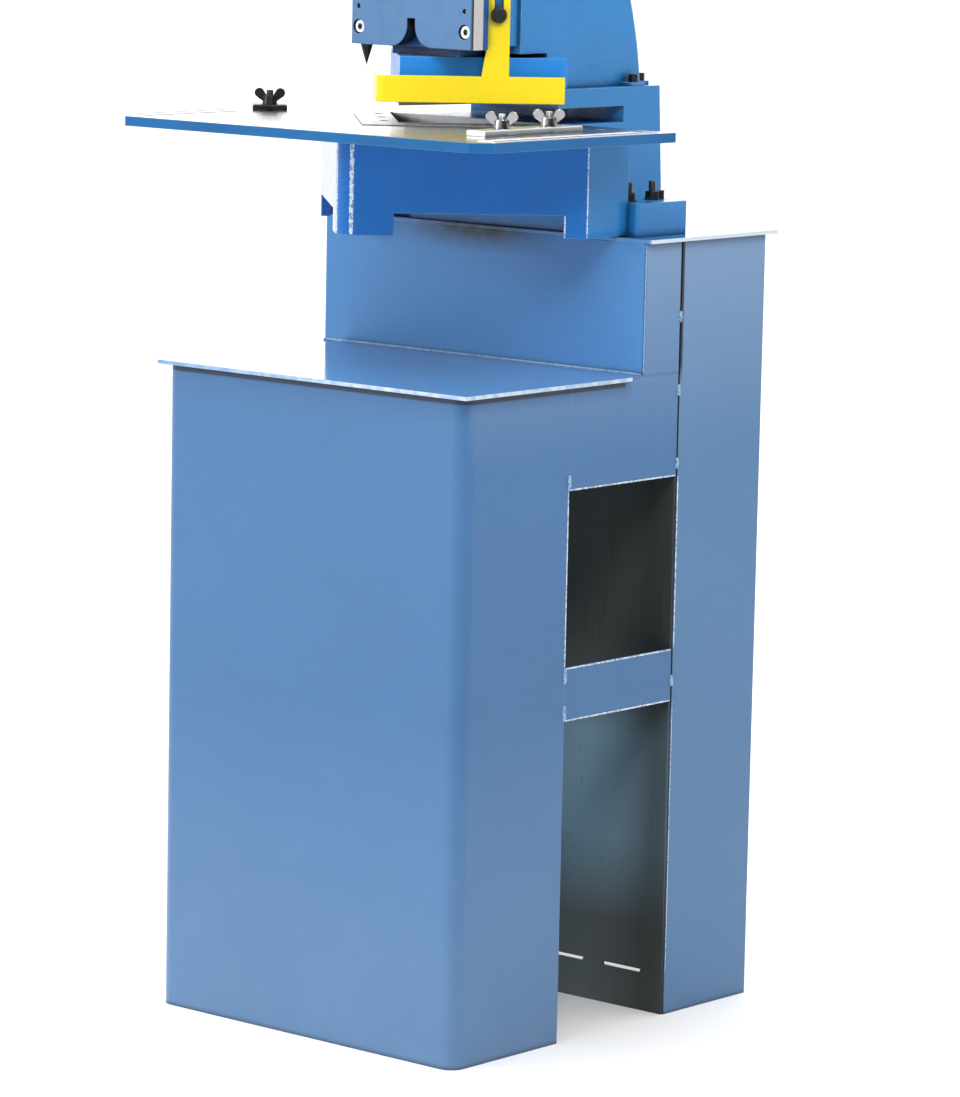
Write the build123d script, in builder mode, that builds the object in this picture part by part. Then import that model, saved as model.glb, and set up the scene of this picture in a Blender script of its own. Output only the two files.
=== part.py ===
"""Angle notcher: a floor-standing press that cuts a square V notch in sheet metal.

Sizes are in millimetres, +Z is up, +Y points to the back and +X to the operator's right.
X = 0 is the middle plane of the press, and the floor is at Z = 0.
Depths are measured from the front face of the stand and turned into Y by the function back().
"""
import os
from math import cos, radians, sin, sqrt

from build123d import *

# Sheet metal stand
sheet = 3.0
deck = 4.0
lip = 9.5
left_lip = 3.0
deck_lip = 6.5
lip_end_gap = 28.0
bend_radius = 16.0
panel_bend_radius = 4.0
stand_width = 406.5
tall_width = 440.0
stand_depth = 476.0
shelf_height = 677.0
tall_height = 814.0
right_wall_depth = 162.0
tall_wall_depth = 275.0
seam_depth = 333.0
window_top = 568.0
window_bottom = 388.0
opening_top = 333.0
rail_height = 40.0
rail_slit = 4.0
rail_tab_width = 22.0
rail_tab_count = 4
seam_recess = 1.5
foot_width = 70.0
foot_height = 60.0

# Work table and the V of the cutting line
table_width = 500.0
table_reach = 17.0
table_rear_gap = 1.0
table_thickness = 10.0
table_rise = 110.0
table_corner = 18.0
table_slot_width = 9.0
vertex_depth = 143.0
cut_half_width = 116.0

# Die and lower knives
die_margin = 14.0
die_nose_lead = 55.0
die_rear_gap = 3.0
die_height = 41.0
die_proud = 1.0
die_wall = 8.0
die_fit = 0.4
lower_knife_width = 26.0
lower_knife_height = 20.0
knife_gap = 0.1
knife_screw_radius = 3.0
knife_screw_head_radius = 5.0
knife_screw_head = 6.0
knife_socket_flats = 4.8
knife_bore_play = 0.5
knife_bore_depth = 7.0
knife_screw_count = 3
knife_screw_grip = 11.0
die_screw_radius = 5.0
die_screw_head_radius = 8.0
die_screw_head = 10.0
die_screw_grip = 12.0
die_screw_pitch = 45.0
die_screw_count = 3

# Die housing below the table
housing_half_width = 183.0
housing_slope = 0.95
housing_nose_lead = 91.0
housing_clearance = 1.0
housing_wall = 10.0
housing_nose_radius = 20.0
housing_edge_radius = 5.0
arch_height = 23.0
arch_nose_margin = 57.0
arch_side_margin = 30.0

# Lower frame casting
column_half_width = 105.0
column_front_gap = 12.0
column_back = 70.0
column_lean = 9.0
lip_overhang = 12.0
throat_reach = 94.0
throat_height = 16.0
throat_drop = 1.0
throat_roof = 19.5
lug_half_width = 196.0
lug_setback = 8.0
lug_length = 82.0
lug_height = 34.0
casting_radius = 4.0
jaw_thickness = 34.0
jaw_nose_lead = 43.0
jaw_rim = 14.0
jaw_wall = 17.0

# Hold-down studs and jack screws
stud_radius = 4.0
stud_hole_radius = 4.5
stud_inset = 30.0
stud_setbacks = (22.0, 60.0)
stud_top = 19.0
stud_below = 14.0
nut_flats = 13.0
nut_height = 7.0
washer_radius = 8.0
washer_thickness = 1.6
jack_setback = 73.5
jack_flats = 8.0
jack_height = 9.0
jack_radius = 2.5

# Upper frame casting
head_half_width = 88.0
head_overhang = 42.0
head_foot_inset = 12.0
head_relief = 36.5
head_height = 190.5
head_neck_rise = 87.5
head_neck_sweep = 18.0
head_crown_sweep = 68.0
flange_height = 4.0
flange_inset = 1.0
flange_lap = 36.0
flange_ear = 24.0
flange_toe = 12.0
frame_bolt_flats = 10.0
frame_bolt_head = 8.0
frame_bolt_radius = 3.0
frame_bolt_grip = 18.0
side_bolt_gap = 8.5
side_bolt_setback = 12.0
rear_bolt_side = 80.0
rear_bolt_inset = 5.5

# Ram, its keepers and its face plate
slide_gap = 0.05
tongue_half_width = 60.0
tongue_depth = 22.0
ram_half_width = 46.0
ram_neck = 45.0
ram_rise = 32.5
ram_height = 113.0
stroke = 25.0
keeper_half_width = 84.0
keeper_thickness = 14.0
keeper_rise = 44.5
keeper_height = 136.0
keeper_screw_side = 72.0
keeper_screw_rises = (10.0, 96.0, 124.0)
plate_half_width = 83.0
plate_thickness = 16.0
ram_flange = 8.0
plate_rise = 9.0
plate_height = 95.0
plate_edge_radius = 4.0
relief_half_width = 5.5
relief_radius = 22.0
relief_height = 29.0
plate_screw_side = 71.5
plate_screw_rise = 17.7
dowel_rise = 38.7
dowel_radius = 2.6
cap_head_radius = 6.5
cap_head_height = 8.0
cap_bore_radius = 7.5
cap_bore_depth = 10.0
cap_socket_flats = 6.0
cap_socket_depth = 4.0
cap_shank_radius = 4.0
cap_grip = 20.0
point_radius = 6.5
point_cone = 22.0
point_side = 67.0
point_shank_radius = 4.0
point_shank = 8.0

# Knife holder and upper knives
holder_margin = 2.0
holder_rear_gap = 3.0
holder_height = 30.0
holder_screw_front = (25.0, -13.0)
holder_screw_rear = (42.0, 12.0)
upper_knife_width = 20.0
upper_knife_drop = 20.0
upper_knife_rake = 6.0
upper_knife_end_gap = 0.5
upper_knife_rear_gap = 1.0

# Guard
guard_nose_lead = 34.5
guard_thickness = 5.0
guard_rise = 23.0
guard_height = 27.0
guard_right_reach = 135.0
guard_left_reach = 53.0
guard_bend_radius = 8.0
strap_side = 86.5
strap_width = 23.0
strap_flare = 5.0
strap_flare_height = 30.0
strap_height = 161.0
guard_travel = 20.0
guard_bolt_rise = 89.0
guard_bolt_pitch = 36.0
guard_bolt_radius = 4.0
guard_bolt_flats = 13.0
guard_bolt_head = 5.5
guard_slot_play = 0.6
guard_washer_radius = 8.0
guard_washer_thickness = 1.6
guard_bolt_grip = 12.0
bracket_width = 20.0
bracket_drop = 12.0
bracket_height = 62.0

# Stops and scales on the table
stop_thickness = 6.0
stop_width = 24.0
right_stop_margin = 74.0
right_stop_length = 150.0
right_stop_depths = (98.0, 170.0)
right_stop_travel = 25.0
left_stop_margin = 29.0
left_stop_offset = 86.0
left_stop_length = 36.0
left_stop_travel = 15.0
stop_bolt_radius = 4.0
stop_bolt_rise = 15.0
stop_bolt_head = 20.0
stop_bolt_head_height = 6.0
wing_hub_radius = 8.0
wing_hub_height = 9.0
wing_span = 32.0
wing_thickness = 4.0
wing_rise = 17.0
wing_tip_radius = 5.0
wing_root_radius = 3.0
wing_hub_taper = 8.0
wing_turn = 40.0
wing_turn_step = 12.0
thread_gap = 0.06
scale_width = 22.0
scale_length = 234.0
left_scale_length = 140.0
scale_thickness = 0.8
scale_inset = 4.0
scale_front_depth = 6.0
table_screw_radius = 3.0
table_screw_head = 5.5
table_screw_grip = 14.0
table_screw_shares = (0.22, 0.78)
table_screw_inset = 40.0

# Hydraulic cylinder on top of the head
bridge_thickness = 20.0
bridge_half_width = 74.0
bridge_front_reach = 63.0
bridge_rear_reach = 89.0
bridge_screw_side = 62.0
bridge_screw_setbacks = (36.0, 58.0)
ram_axis_lead = 17.0
cap_side = 104.0
lower_cap_height = 22.0
upper_cap_height = 26.0
tube_radius = 44.0
tube_bore = 36.0
tube_length = 78.0
rod_radius = 20.0
rod_flange_radius = 34.0
rod_flange_height = 12.0
rod_screw_pitch_radius = 27.0
rod_screw_radius = 3.0
rod_screw_head_radius = 5.0
rod_screw_head = 6.0
rod_screw_grip = 14.0
wiper_radius = 29.0
wiper_height = 8.0
piston_height = 24.0
piston_gap = 0.06
tie_rod_pitch = 80.0
tie_rod_radius = 5.0
tie_nut_flats = 17.0
tie_nut_height = 9.0
tie_rod_end = 12.0
port_radius = 9.0
port_length = 9.0
port_flats = 22.0
port_hex = 8.0
port_bore = 5.0

# Places worked out from the sizes above
root2 = sqrt(2)
overall_depth = table_reach + stand_depth + lip
stand_right = tall_width / 2
stand_left = stand_right - stand_width
column_height = tall_height - deck
front_height = shelf_height - deck
table_top = tall_height + table_rise
table_under = table_top - table_thickness
die_half_width = cut_half_width + die_margin
die_nose_depth = vertex_depth - die_nose_lead
die_rear_depth = vertex_depth + cut_half_width + die_rear_gap + die_wall
die_top = table_top + die_proud
die_base = die_top - die_height
knife_seat = die_top - lower_knife_height
column_front_depth = die_rear_depth + column_front_gap
table_rear_depth = column_front_depth - table_rear_gap
throat_depth = column_front_depth + throat_reach
column_rear_depth = throat_depth + column_back
lip_front_depth = column_front_depth - lip_overhang
throat_ceiling = table_top + throat_height
frame_joint = throat_ceiling + throat_roof
lug_front_depth = column_front_depth + lug_setback
lug_rear_depth = lug_front_depth + lug_length
jaw_nose_depth = vertex_depth - jaw_nose_lead
housing_nose_depth = vertex_depth - housing_nose_lead
housing_rear_depth = lug_front_depth
housing_base = tall_height + housing_clearance
housing_skew = sqrt(1 + housing_slope**2)
stud_side = lug_half_width - stud_inset
head_front_depth = lip_front_depth - head_overhang
head_foot_depth = column_rear_depth - column_lean - head_foot_inset
head_relief_top = frame_joint + head_relief
head_top = frame_joint + head_height
flange_half_width = column_half_width - flange_inset
flange_front_depth = head_foot_depth - flange_lap
flange_rear_depth = head_foot_depth + flange_toe
ram_front_depth = head_front_depth - ram_neck
ram_axis_depth = head_front_depth - ram_axis_lead
ram_bottom = frame_joint + ram_rise
ram_top = ram_bottom + ram_height
keeper_bottom = frame_joint + keeper_rise
keeper_top = keeper_bottom + keeper_height
plate_bottom = ram_bottom + plate_rise
plate_top = plate_bottom + plate_height
holder_half_width = cut_half_width + holder_margin
holder_rear_depth = lip_front_depth - holder_rear_gap
guard_nose_depth = vertex_depth - guard_nose_lead
guard_bottom = table_top + guard_rise
right_stop_side = table_width / 2 - right_stop_margin
left_stop_side = table_width / 2 - left_stop_margin
left_stop_place = (-left_stop_side, housing_nose_depth + left_stop_side - left_stop_offset)
bridge_front_depth = ram_axis_depth - bridge_front_reach
bridge_rear_depth = ram_axis_depth + bridge_rear_reach
bridge_top = head_top + bridge_thickness
tube_bottom = bridge_top + lower_cap_height
tube_top = tube_bottom + tube_length
piston_top = tube_top - 2 * slide_gap
holder_bottom = ram_bottom - holder_height
upper_screw_run = cut_half_width * root2 - upper_knife_width


def back(depth):
    """Y of a point that lies this far behind the front face of the stand."""
    return depth + table_reach - overall_depth / 2


def point(x, depth):
    """Plan position of a point at this side distance and depth."""
    return (x, back(depth))


def wing_plane(depth, side, height):
    """Upright plane along one arm of the V: local x runs out along the arm, local y is up."""
    return Plane(origin=(0, back(depth), height), x_dir=(side, 1, 0), z_dir=(1, -side, 0))


def v_outline(nose, half_width, rear, slope=1.0):
    """Plan outline of a five-sided block with a V nose to the front, which is square at slope 1."""
    shoulder = nose + half_width * slope
    return [
        point(0, nose),
        point(half_width, shoulder),
        point(half_width, rear),
        point(-half_width, rear),
        point(-half_width, shoulder),
    ]


def arm_point(nose, along, inward, side):
    """Plan position along one arm of the V, and this far behind its face."""
    return point(side * (along - inward) / root2, nose + (along + inward) / root2)


def arm_outline(near, far, half_width, side):
    """Plan outline of one arm of the V between two nose depths, mitred on the middle plane."""
    return [
        point(0, near),
        point(side * half_width, near + half_width),
        point(side * half_width, far + half_width),
        point(0, far),
    ]


def spread(count):
    """Shares of a length at which this many screws stand evenly."""
    return [(index + 0.5) / count for index in range(count)]


def save(solid, name):
    """Label a finished piece and write it as its own file."""
    solid.label = name
    export_step(solid, f"parts/{name}.step")


os.makedirs("parts", exist_ok=True)

# Front shell: one bent sheet with a short right leg and a long left leg
with BuildPart() as front_shell:
    with BuildSketch():
        with BuildLine():
            FilletPolyline(
                point(stand_right, right_wall_depth),
                point(stand_right, 0),
                point(stand_left, 0),
                point(stand_left, seam_depth),
                radius=bend_radius,
            )
            offset(amount=sheet, side=Side.RIGHT)
        make_face()
    extrude(amount=front_height)
save(front_shell.part, "front_shell")

# Rear shell: a full-height U behind the inner wall, cut out at the back between two feet
rear_shell_depth = seam_depth + sheet
with BuildPart() as rear_shell:
    with BuildSketch():
        with BuildLine():
            FilletPolyline(
                point(stand_right, rear_shell_depth),
                point(stand_right, stand_depth),
                point(-stand_right, stand_depth),
                point(-stand_right, rear_shell_depth),
                radius=panel_bend_radius,
            )
            offset(amount=sheet, side=Side.LEFT)
        make_face()
    extrude(amount=column_height)
    with BuildSketch(Plane.XZ.offset(-back(stand_depth))):
        with Locations((0, foot_height / 2)):
            Rectangle(tall_width - 2 * foot_width, foot_height)
    extrude(amount=sheet, mode=Mode.SUBTRACT)
save(rear_shell.part, "rear_shell")

# Tall front panel: the wall behind the shelf with its two bent returns
with BuildPart() as tall_front_panel:
    with BuildSketch(Plane.XY.offset(shelf_height)):
        with BuildLine():
            FilletPolyline(
                point(stand_right, seam_depth),
                point(stand_right, tall_wall_depth),
                point(-stand_right, tall_wall_depth),
                point(-stand_right, seam_depth),
                radius=panel_bend_radius,
            )
            offset(amount=sheet, side=Side.RIGHT)
        make_face()
    extrude(amount=column_height - shelf_height)
save(tall_front_panel.part, "tall_front_panel")

# Right side header above the window and the strip below it
side_span = seam_depth - right_wall_depth
side_middle = back((seam_depth + right_wall_depth) / 2)
side_plane = Plane.YZ.offset(stand_right - sheet)
with BuildPart() as side_header:
    with BuildSketch(side_plane):
        with Locations((side_middle, (window_top + front_height) / 2)):
            Rectangle(side_span, front_height - window_top)
    extrude(amount=sheet)
save(side_header.part, "side_header")

with BuildPart() as side_strip:
    with BuildSketch(side_plane):
        with Locations((side_middle, (opening_top + window_bottom) / 2)):
            Rectangle(side_span, window_bottom - opening_top)
    extrude(amount=sheet)
save(side_strip.part, "side_strip")

# Inner wall that closes the rear shell, its edges set back in the seams, and the rail below it
inner_width = tall_width - 2 * seam_recess
inner_plane = Plane.XZ.offset(-back(rear_shell_depth))
with BuildPart() as inner_wall:
    with BuildSketch(inner_plane):
        with Locations((0, (rail_height + rail_slit + column_height) / 2)):
            Rectangle(inner_width, column_height - rail_height - rail_slit)
    extrude(amount=sheet)
save(inner_wall.part, "inner_wall")

with BuildPart() as bottom_rail:
    with BuildSketch(inner_plane):
        with Locations((0, rail_height / 2)):
            Rectangle(inner_width, rail_height)
        with Locations((0, rail_height + rail_slit / 2)):
            with GridLocations(inner_width / rail_tab_count, 1, rail_tab_count, 1):
                Rectangle(rail_tab_width, rail_slit)
    extrude(amount=sheet)
save(bottom_rail.part, "bottom_rail")

# Shelf with its lip, cut off at the right before the wall and widened to carry the tall front panel
lip_end_depth = tall_wall_depth - lip_end_gap
with BuildPart() as shelf_plate:
    with BuildSketch(Plane.XY.offset(front_height)):
        with BuildLine():
            Polyline(
                point(stand_left - left_lip, -lip),
                point(stand_right + lip, -lip),
                point(stand_right + lip, lip_end_depth),
                point(stand_right, lip_end_depth + lip),
                point(stand_right, seam_depth),
                point(-stand_right, seam_depth),
                point(-stand_right, tall_wall_depth),
                point(stand_left - left_lip, tall_wall_depth),
                close=True,
            )
        make_face()
    extrude(amount=deck)
save(shelf_plate.part, "shelf_plate")

# Deck of the tall box with a lip at its sides and back, drilled for the hold-down studs
stud_places = [
    point(side * stud_side, lug_front_depth + setback) for side in (-1, 1) for setback in stud_setbacks
]
jack_places = [point(side * stud_side, lug_front_depth + jack_setback) for side in (-1, 1)]
with BuildPart() as top_plate:
    with BuildSketch(Plane.XY.offset(column_height)) as deck_plan:
        with Locations(point(0, (tall_wall_depth + stand_depth + lip) / 2)):
            Rectangle(tall_width + 2 * deck_lip, stand_depth + lip - tall_wall_depth)
        fillet(deck_plan.vertices().group_by(Axis.Y)[0], deck_lip)
        with Locations(*stud_places):
            Circle(stud_hole_radius, mode=Mode.SUBTRACT)
    extrude(amount=deck)
save(top_plate.part, "top_plate")

# Screws between the jaw of the lower frame and the die stand along both arms of the V
die_screw_nose = (jaw_nose_depth + vertex_depth + jaw_rim) / 2
die_screw_steps = [index * die_screw_pitch for index in range(die_screw_count)]
die_screw_places = [point(step, die_screw_nose + step) for step in die_screw_steps]
die_screw_places += [point(-step, die_screw_nose + step) for step in die_screw_steps if step > 0]

# Bolts that hold the upper frame on the lower one
side_bolt_side = head_half_width + side_bolt_gap
side_bolt_depth = flange_front_depth + side_bolt_setback
side_bolts = [point(side * side_bolt_side, side_bolt_depth) for side in (-1, 1)]
rear_bolts = [point(side * rear_bolt_side, flange_rear_depth - rear_bolt_inset) for side in (-1, 1)]
frame_bolt_places = side_bolts + rear_bolts

# Lower frame: column with an open throat, two side lugs and the jaw under the die
with BuildPart() as lower_frame:
    with BuildSketch(Plane.YZ.offset(-column_half_width)):
        with BuildLine():
            Polyline(
                (back(column_front_depth), tall_height),
                (back(column_rear_depth), tall_height),
                (back(column_rear_depth - column_lean), frame_joint),
                (back(lip_front_depth), frame_joint),
                (back(lip_front_depth), throat_ceiling),
                (back(throat_depth), throat_ceiling),
                (back(throat_depth), table_top - throat_drop),
                (back(column_front_depth), table_top - throat_drop),
                close=True,
            )
        make_face()
    extrude(amount=2 * column_half_width)
    with BuildSketch(Plane.XY.offset(tall_height)):
        with Locations(point(0, (lug_front_depth + lug_rear_depth) / 2)):
            RectangleRounded(2 * lug_half_width, lug_rear_depth - lug_front_depth, casting_radius)
    extrude(amount=lug_height)
    with BuildSketch(Plane.XY.offset(die_base - jaw_thickness)):
        Polygon(*v_outline(jaw_nose_depth, column_half_width, throat_depth), align=None)
    extrude(amount=jaw_thickness)
    with BuildSketch(Plane.XY.offset(die_base - jaw_thickness)):
        Polygon(
            *v_outline(vertex_depth + jaw_rim, column_half_width - jaw_wall, die_rear_depth - die_wall),
            align=None,
        )
    extrude(amount=jaw_thickness, mode=Mode.SUBTRACT)
    with BuildSketch(Plane.XY.offset(tall_height)):
        with Locations(*stud_places):
            Circle(stud_hole_radius)
        with Locations(*jack_places):
            Circle(jack_radius)
    extrude(amount=lug_height, mode=Mode.SUBTRACT)
    with BuildSketch(Plane.XY.offset(die_base - jaw_thickness)):
        with Locations(*die_screw_places):
            Circle(die_screw_radius)
    extrude(amount=jaw_thickness, mode=Mode.SUBTRACT)
    with BuildSketch(Plane.XY.offset(frame_joint)):
        with Locations(*frame_bolt_places):
            Circle(frame_bolt_radius)
    extrude(amount=-frame_bolt_grip, mode=Mode.SUBTRACT)
    back_face = lower_frame.faces().sort_by(Axis.Y)[-1]
    fillet(back_face.edges().sort_by(Axis.X)[0], casting_radius)
    back_face = lower_frame.faces().filter_by(GeomType.PLANE).sort_by(Axis.Y)[-1]
    fillet(back_face.edges().sort_by(Axis.X)[-1], casting_radius)
save(lower_frame.part, "lower_frame")

# Hold-down studs with their nuts above and below the deck, washers and jack screws
lug_top = tall_height + lug_height
nut_seat = lug_top + washer_thickness
with BuildPart() as hold_down_studs:
    with BuildSketch(Plane.XY.offset(column_height - stud_below)):
        with Locations(*stud_places):
            Circle(stud_radius)
    extrude(amount=stud_below + deck + lug_height + stud_top)
    chamfer(hold_down_studs.edges().filter_by(GeomType.CIRCLE).group_by(Axis.Z)[-1], stud_radius / 6)
save(hold_down_studs.part, "hold_down_studs")

with BuildPart() as hold_down_nuts:
    for base in (nut_seat, column_height - nut_height):
        with BuildSketch(Plane.XY.offset(base)):
            with Locations(*stud_places):
                RegularPolygon(nut_flats / 2, 6, major_radius=False)
                Circle(stud_radius, mode=Mode.SUBTRACT)
        extrude(amount=nut_height)
save(hold_down_nuts.part, "hold_down_nuts")

with BuildPart() as hold_down_washers:
    with BuildSketch(Plane.XY.offset(lug_top)):
        with Locations(*stud_places):
            Circle(washer_radius)
            Circle(stud_hole_radius, mode=Mode.SUBTRACT)
    extrude(amount=washer_thickness)
save(hold_down_washers.part, "hold_down_washers")

with BuildPart() as jack_screws:
    with BuildSketch(Plane.XY.offset(tall_height)):
        with Locations(*jack_places):
            Circle(jack_radius)
    extrude(amount=lug_height)
    with BuildSketch(Plane.XY.offset(lug_top)):
        with Locations(*jack_places):
            RegularPolygon(jack_flats / 2, 6, major_radius=False)
    extrude(amount=jack_height)
save(jack_screws.part, "jack_screws")

# Screws that hold the table stand in the middle of the housing walls
mid_wall = housing_half_width - housing_wall / 2
table_screw_places = []
for side in (-1, 1):
    table_screw_places.append(point(side * mid_wall, housing_rear_depth - table_screw_inset))
    for share in table_screw_shares:
        reach = housing_half_width * share
        middle_depth = housing_nose_depth + reach * housing_slope + housing_wall / 2 * housing_skew
        table_screw_places.append(point(side * reach, middle_depth))

# Die housing: bent plate with a round nose, open at the back, with an arch in each V face
with BuildPart() as die_housing:
    with BuildSketch(Plane.XY.offset(housing_base)) as housing_plan:
        Polygon(
            *v_outline(housing_nose_depth, housing_half_width, housing_rear_depth, housing_slope),
            align=None,
        )
        fillet(housing_plan.vertices().group_by(Axis.Y)[0], housing_nose_radius)
        fillet(housing_plan.vertices().group_by(Axis.Y)[-2], housing_edge_radius)
    extrude(amount=table_under - housing_base)
    with BuildSketch(Plane.XY.offset(housing_base)) as hollow_plan:
        Polygon(
            *v_outline(
                housing_nose_depth + housing_wall * housing_skew,
                housing_half_width - housing_wall,
                housing_rear_depth + housing_wall,
                housing_slope,
            ),
            align=None,
        )
        fillet(hollow_plan.vertices().sort_by(Axis.Y)[0], housing_nose_radius - housing_wall)
    extrude(amount=table_under - housing_base, mode=Mode.SUBTRACT)
    arch_length = housing_half_width * root2 - arch_nose_margin - arch_side_margin
    for side in (-1, 1):
        with BuildSketch(wing_plane(housing_nose_depth, side, housing_base)):
            with Locations((arch_nose_margin + arch_length / 2, 0)):
                Rectangle(arch_length, 2 * arch_height)
        extrude(amount=housing_wall * root2, both=True, mode=Mode.SUBTRACT)
    with BuildSketch(Plane.XY.offset(table_under)):
        with Locations(*table_screw_places):
            Circle(table_screw_radius)
    extrude(amount=-table_screw_grip, mode=Mode.SUBTRACT)
save(die_housing.part, "die_housing")

# Table plate with the die opening and the slots for the stops
left_stop_slot = left_stop_travel * 2 + table_slot_width
right_stop_slot = right_stop_travel * 2 + table_slot_width
table_depth = table_reach + table_rear_depth
with BuildPart() as table_plate:
    with BuildSketch(Plane.XY.offset(table_under)) as table_plan:
        with Locations(point(0, table_rear_depth - table_depth / 2)):
            Rectangle(table_width, table_depth)
        chamfer(table_plan.vertices().group_by(Axis.Y)[0], table_corner)
        Polygon(
            *v_outline(
                die_nose_depth - die_fit * root2, die_half_width + die_fit, die_rear_depth + die_fit
            ),
            align=None,
            mode=Mode.SUBTRACT,
        )
        with Locations(*[point(right_stop_side, depth) for depth in right_stop_depths]):
            SlotOverall(right_stop_slot, table_slot_width, mode=Mode.SUBTRACT)
        with Locations(point(*left_stop_place)):
            SlotOverall(left_stop_slot, table_slot_width, rotation=135, mode=Mode.SUBTRACT)
    extrude(amount=table_thickness)
    with Locations(*[(x, y, table_top) for x, y in table_screw_places]):
        CounterSinkHole(table_screw_radius, table_screw_head, depth=table_thickness)
save(table_plate.part, "table_plate")

# Countersunk screws that hold the table on the housing
with BuildPart() as table_screws:
    with BuildSketch(Plane.XY.offset(table_under - table_screw_grip)):
        with Locations(*table_screw_places):
            Circle(table_screw_radius)
    extrude(amount=table_screw_grip + table_thickness - table_screw_head + table_screw_radius)
    with BuildSketch(Plane.XY.offset(table_top - table_screw_head + table_screw_radius)):
        with Locations(*table_screw_places):
            Circle(table_screw_radius)
    extrude(amount=table_screw_head - table_screw_radius, taper=-45)
save(table_screws.part, "table_screws")

# Die block: holds the lower knives in a V pocket round the scrap hole
scrap_nose = vertex_depth - knife_gap * root2
pocket_nose = scrap_nose - lower_knife_width * root2
knife_bore_radius = knife_screw_head_radius + knife_bore_play
lower_screw_places = [
    arm_point(scrap_nose, share * cut_half_width * root2, -lower_knife_width / 2, side)
    for side in (-1, 1)
    for share in spread(knife_screw_count)
]
with BuildPart() as die_block:
    with BuildSketch(Plane.XY.offset(die_base)):
        Polygon(*v_outline(die_nose_depth, die_half_width, die_rear_depth), align=None)
        Polygon(
            *v_outline(scrap_nose, cut_half_width, die_rear_depth - die_wall),
            align=None,
            mode=Mode.SUBTRACT,
        )
    extrude(amount=die_height)
    with BuildSketch(Plane.XY.offset(knife_seat)):
        for side in (-1, 1):
            Polygon(*arm_outline(pocket_nose, scrap_nose, cut_half_width, side), align=None)
    extrude(amount=lower_knife_height, mode=Mode.SUBTRACT)
    with BuildSketch(Plane.XY.offset(knife_seat - knife_screw_grip)):
        with Locations(*lower_screw_places):
            Circle(knife_screw_radius)
    extrude(amount=knife_screw_grip, mode=Mode.SUBTRACT)
    with BuildSketch(Plane.XY.offset(die_base)):
        with Locations(*die_screw_places):
            Circle(die_screw_radius)
    extrude(amount=die_screw_grip, mode=Mode.SUBTRACT)
save(die_block.part, "die_block")

# Lower knives, mitred at the point of the V
for side, name in ((-1, "lower_knife_left"), (1, "lower_knife_right")):
    with BuildPart() as lower_knife:
        with BuildSketch(Plane.XY.offset(knife_seat)):
            Polygon(*arm_outline(pocket_nose, scrap_nose, cut_half_width, side), align=None)
        extrude(amount=lower_knife_height)
        with Locations(*[(x, y, die_top) for x, y in lower_screw_places if x * side > 0]):
            CounterBoreHole(knife_screw_radius, knife_bore_radius, knife_bore_depth)
    save(lower_knife.part, name)

with BuildPart() as lower_knife_screws:
    with BuildSketch(Plane.XY.offset(knife_seat - knife_screw_grip)):
        with Locations(*lower_screw_places):
            Circle(knife_screw_radius)
    extrude(amount=knife_screw_grip + lower_knife_height - knife_bore_depth)
    with BuildSketch(Plane.XY.offset(die_top - knife_bore_depth)):
        with Locations(*lower_screw_places):
            Circle(knife_screw_head_radius)
    extrude(amount=knife_screw_head)
    with BuildSketch(Plane.XY.offset(die_top - knife_bore_depth + knife_screw_head)):
        with Locations(*lower_screw_places):
            RegularPolygon(knife_socket_flats / 2, 6, major_radius=False)
    extrude(amount=-knife_screw_head / 2, mode=Mode.SUBTRACT)
save(lower_knife_screws.part, "lower_knife_screws")

# Screws that pull the die down on the jaw from below
jaw_base = die_base - jaw_thickness
with BuildPart() as die_screws:
    with BuildSketch(Plane.XY.offset(jaw_base)):
        with Locations(*die_screw_places):
            Circle(die_screw_radius)
    extrude(amount=jaw_thickness + die_screw_grip)
    with BuildSketch(Plane.XY.offset(jaw_base - die_screw_head)):
        with Locations(*die_screw_places):
            Circle(die_screw_head_radius)
    extrude(amount=die_screw_head)
save(die_screws.part, "die_screws")

# Graduated scales along the side edges of the table
for side, length, name in ((-1, left_scale_length, "scale_left"), (1, scale_length, "scale_right")):
    with BuildPart() as scale:
        with BuildSketch(Plane.XY.offset(table_top)):
            with Locations(
                point(
                    side * (table_width / 2 - scale_inset - scale_width / 2),
                    scale_front_depth + length / 2,
                )
            ):
                Rectangle(scale_width, length)
        extrude(amount=scale_thickness)
    save(scale.part, name)

# Stops on the table, with T-bolts that slide in the table slots
stop_base = table_top + slide_gap
stop_top = stop_base + stop_thickness
right_stop_places = [point(right_stop_side, depth) for depth in right_stop_depths]
left_stop_places = [point(*left_stop_place)]
right_stop_middle = point(right_stop_side, sum(right_stop_depths) / len(right_stop_depths))


def stop_bar(length, middle, turn, bolt_places):
    """Flat bar that lies on the table, drilled for its T-bolts."""
    with BuildPart() as bar:
        with BuildSketch(Plane.XY.offset(stop_base)):
            with Locations(middle):
                Rectangle(length, stop_width, rotation=turn)
            with Locations(*bolt_places):
                Circle(stop_bolt_radius, mode=Mode.SUBTRACT)
        extrude(amount=stop_thickness)
        chamfer(bar.faces().sort_by(Axis.Z)[-1].outer_wire().edges(), stop_thickness / 6)
    return bar.part


def stop_bolts(bolt_places, turn):
    """T-bolts whose square heads hang below the table."""
    head_top = table_under - slide_gap
    with BuildPart() as bolts:
        with BuildSketch(Plane.XY.offset(head_top - stop_bolt_head_height)):
            with Locations(*bolt_places):
                Rectangle(stop_bolt_head, stop_bolt_head, rotation=turn)
        extrude(amount=stop_bolt_head_height)
        with BuildSketch(Plane.XY.offset(head_top)):
            with Locations(*bolt_places):
                Circle(stop_bolt_radius)
        extrude(amount=stop_top + stop_bolt_rise - head_top)
    return bolts.part


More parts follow.
